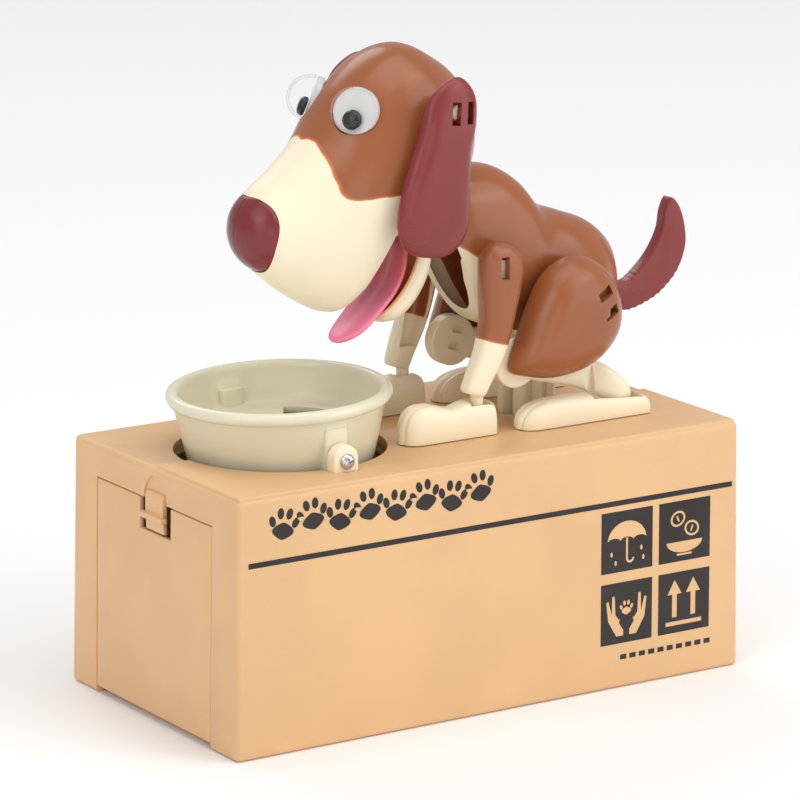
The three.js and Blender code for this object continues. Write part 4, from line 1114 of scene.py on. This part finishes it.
JAW_SCOOP = [
    [0, 0, 129.6, 20, 0.6, 6], [0, 0, 129.0, 20, 2.4, 9.2], [-0.8, 0, 124, 10, 3.8, 10.8],
    [-2.8, 0, 117, 0, 5, 11.2], [-6.2, 0, 110.4, -18, 5, 10.6], [-10.4, 0, 105.2, -40, 3.6, 8.4],
    [-13.0, 0, 103.0, -50, 0.8, 2.4],
]
JAW_HOLLOW = [
    [-2.4, 0, 129, 20, 2.4, 7.4], [-3.6, 0, 123.4, 10, 4.6, 9.2], [-5.6, 0, 117, 0, 5.4, 9.6],
    [-8.8, 0, 111.4, -18, 5.2, 9], [-12.4, 0, 107.2, -40, 3.4, 7], [-14.8, 0, 105.4, -50, 1.2, 2.8],
]


def jaw():
    """A cream scoop whose lining, wherever the hollow cuts it, is painted orange."""
    scoop = loft("jaw_scoop", JAW_SCOOP, 72, 60, 2.2)
    hollow = loft("hollow", JAW_HOLLOW, 72, 60, 2.2)
    corners, faces = hollow.data.vertices, hollow.data.polygons
    lining = BVHTree.FromPolygons([v.co for v in corners], [f.vertices for f in faces])
    cut(scoop, hollow)
    reach = [lining.find_nearest(Vector(p) * MM)[3] / MM for p in points_of(scoop)]
    paint(scoop, np.array(reach) - 0.4)
    put(scoop, "lower_jaw", "mouth", "jaw", angle=50)
    put(rod("Y", JAW, 1.5, -15.6, 15.6, 24, 0.2, "jaw_pin"), "lower_jaw", "cream")


TONGUE = [
    [-4.2, 0, 126.0, 10, 0.3, 2.0], [-4.6, 0, 124.6, 10, 1.2, 5], [-6.2, 0, 119, 8, 1.5, 7.4],
    [-9, 0, 112.6, -8, 1.5, 8], [-13.8, 0, 106.9, -28, 1.5, 7.4], [-19.6, 0, 101.4, -44, 1.5, 6.4],
    [-24, 0, 98.6, -56, 1, 3.4], [-25.2, 0, 98.0, -58, 0.2, 0.6],
]


def tongue():
    """A strip with a shallow furrow down its middle."""
    strip = loft("tongue_strip", TONGUE, 72, 70, 2.6)
    points = points_of(strip)
    along = np.clip((126 - points[:, 2]) / 28, 0, 1)
    across = np.exp(-((points[:, 1] / 1.7) ** 2))
    furrow = 0.7 * across * np.sin(math.pi * np.clip(along * 1.05, 0, 1))
    points[:, 0] += furrow * 0.75
    points[:, 2] -= furrow * 0.4
    move_points(strip, points)
    paint(strip, (112 - points[:, 2]) * 0.12)
    put(strip, "lower_jaw", "tongue", "tongue", angle=60)


head()
nose()
eyes()
ears()
jaw()
tongue()

# ---- what stays as the CAD made it ----

KEPT = {
    "tan": ("base_plate", "battery_cover"),
    "cream": ("drive_arm",),
    "gear": ("trigger_lever", "first_gear", "second_gear", "crank_gear"),
    "frame": ("gearbox_plate_right", "gearbox_plate_left"),
    "board": ("circuit_board",),
    "cell": ("battery_1", "battery_2"),
    "brass": ("motor_pinion",),
    "steel": (
        "battery_cover_screw", "base_screw_1", "base_screw_2", "base_screw_3", "base_screw_4",
        "contact_bridge", "contact_spring_1", "contact_spring_2", "motor", "first_gear_shaft",
        "second_gear_shaft", "crank_shaft", "drive_arm_axle",
    ),
}
for look, nodes in KEPT.items():
    for node in nodes:
        piece = frame["nodes"][node]
        piece.data.materials.clear()
        piece.data.materials.append(MATERIAL[look])

# ---- studio ----


def floor():
    mesh = bpy.data.meshes.new("floor")
    half = 8.0
    corners = [(-half, -half, 0), (half, -half, 0), (half, half, 0), (-half, half, 0)]
    mesh.from_pydata(corners, [], [(0, 1, 2, 3)])
    pale = {"Base Color": (0.93, 0.93, 0.93, 1), "Roughness": 0.6, "Specular IOR Level": 0.1}
    mesh.materials.append(finish(tree("floor_white"), pale))
    add("floor", mesh)


def hang(light, towards, at=(0, 0, 0)):
    """Puts a light into the scene, shining from the direction towards."""
    lamp = add(light.name, light)
    lamp.location = at
    lamp.rotation_mode = "QUATERNION"
    lamp.rotation_quaternion = (-Vector(towards)).to_track_quat("-Z", "Y")


def around(azimuth, elevation):
    """The direction at these radians, where azimuth 0 faces the printed front."""
    flat = math.cos(elevation)
    return Vector((math.sin(azimuth) * flat, -math.cos(azimuth) * flat, math.sin(elevation)))


# Name, strength, the direction it shines from, and its angle in degrees.
SUNS = (
    ("key", 0.5, (0.55, -0.75, 0.95), 40), ("fill", 0.35, (-0.9, -0.25, 0.9), 40),
    ("rim", 0.45, (0.1, 0.9, 0.75), 30),
)
# Name, watts, azimuth and elevation in degrees, and distance and size in metres.
SOFTBOXES = (
    ("softbox_right", 5.6, 40, 18, 1.5, (1.2, 1.3)), ("softbox_left", 2.6, -62, 22, 1.6, (0.8, 1.0)),
    ("softbox_low", 1.6, -25, 4, 1.6, (1.0, 0.6)), ("softbox_top", 7.0, 10, 82, 1.6, (1.2, 1.2)),
)


def studio():
    world = bpy.data.worlds.new("studio")
    bpy.context.scene.world = world
    world.use_nodes = True
    sky = world.node_tree.nodes["Background"]
    sky.inputs["Color"].default_value = (0.98, 0.99, 1.0, 1)
    sky.inputs["Strength"].default_value = 0.55
    for name, strength, towards, angle in SUNS:
        light = bpy.data.lights.new(name, "SUN")
        light.energy, light.angle = strength, math.radians(angle)
        hang(light, towards)
    for name, watts, azimuth, elevation, distance, size in SOFTBOXES:
        light = bpy.data.lights.new(name, "AREA")
        light.energy, light.shape = watts, "RECTANGLE"
        light.size, light.size_y = size
        towards = around(math.radians(azimuth), math.radians(elevation))
        hang(light, towards, towards * distance + Vector((0, 0, 0.08)))
    bpy.context.scene.view_settings.view_transform = "Standard"


def camera():
    """Stands where the photograph was taken from."""
    roll, distance, target = math.radians(0.34), 1263.4, Vector((-2.9, 0, 78.7))
    back = around(math.radians(-33.48), math.radians(13.91))
    right = (-back).cross(Vector((0, 0, 1))).normalized()
    up = right.cross(-back)
    across = right * math.cos(roll) + up * math.sin(roll)
    over = up * math.cos(roll) - right * math.sin(roll)
    turn = Matrix((across, over, back)).transposed().to_4x4()
    lens = bpy.data.cameras.new("camera")
    lens.lens, lens.sensor_width = 206.66, 36.0
    lens.clip_start, lens.clip_end = 0.01, 50
    eye = add("camera", lens)
    eye.matrix_world = Matrix.Translation((target + back * distance) * MM) @ turn
    bpy.context.scene.camera = eye


floor()
studio()
camera()
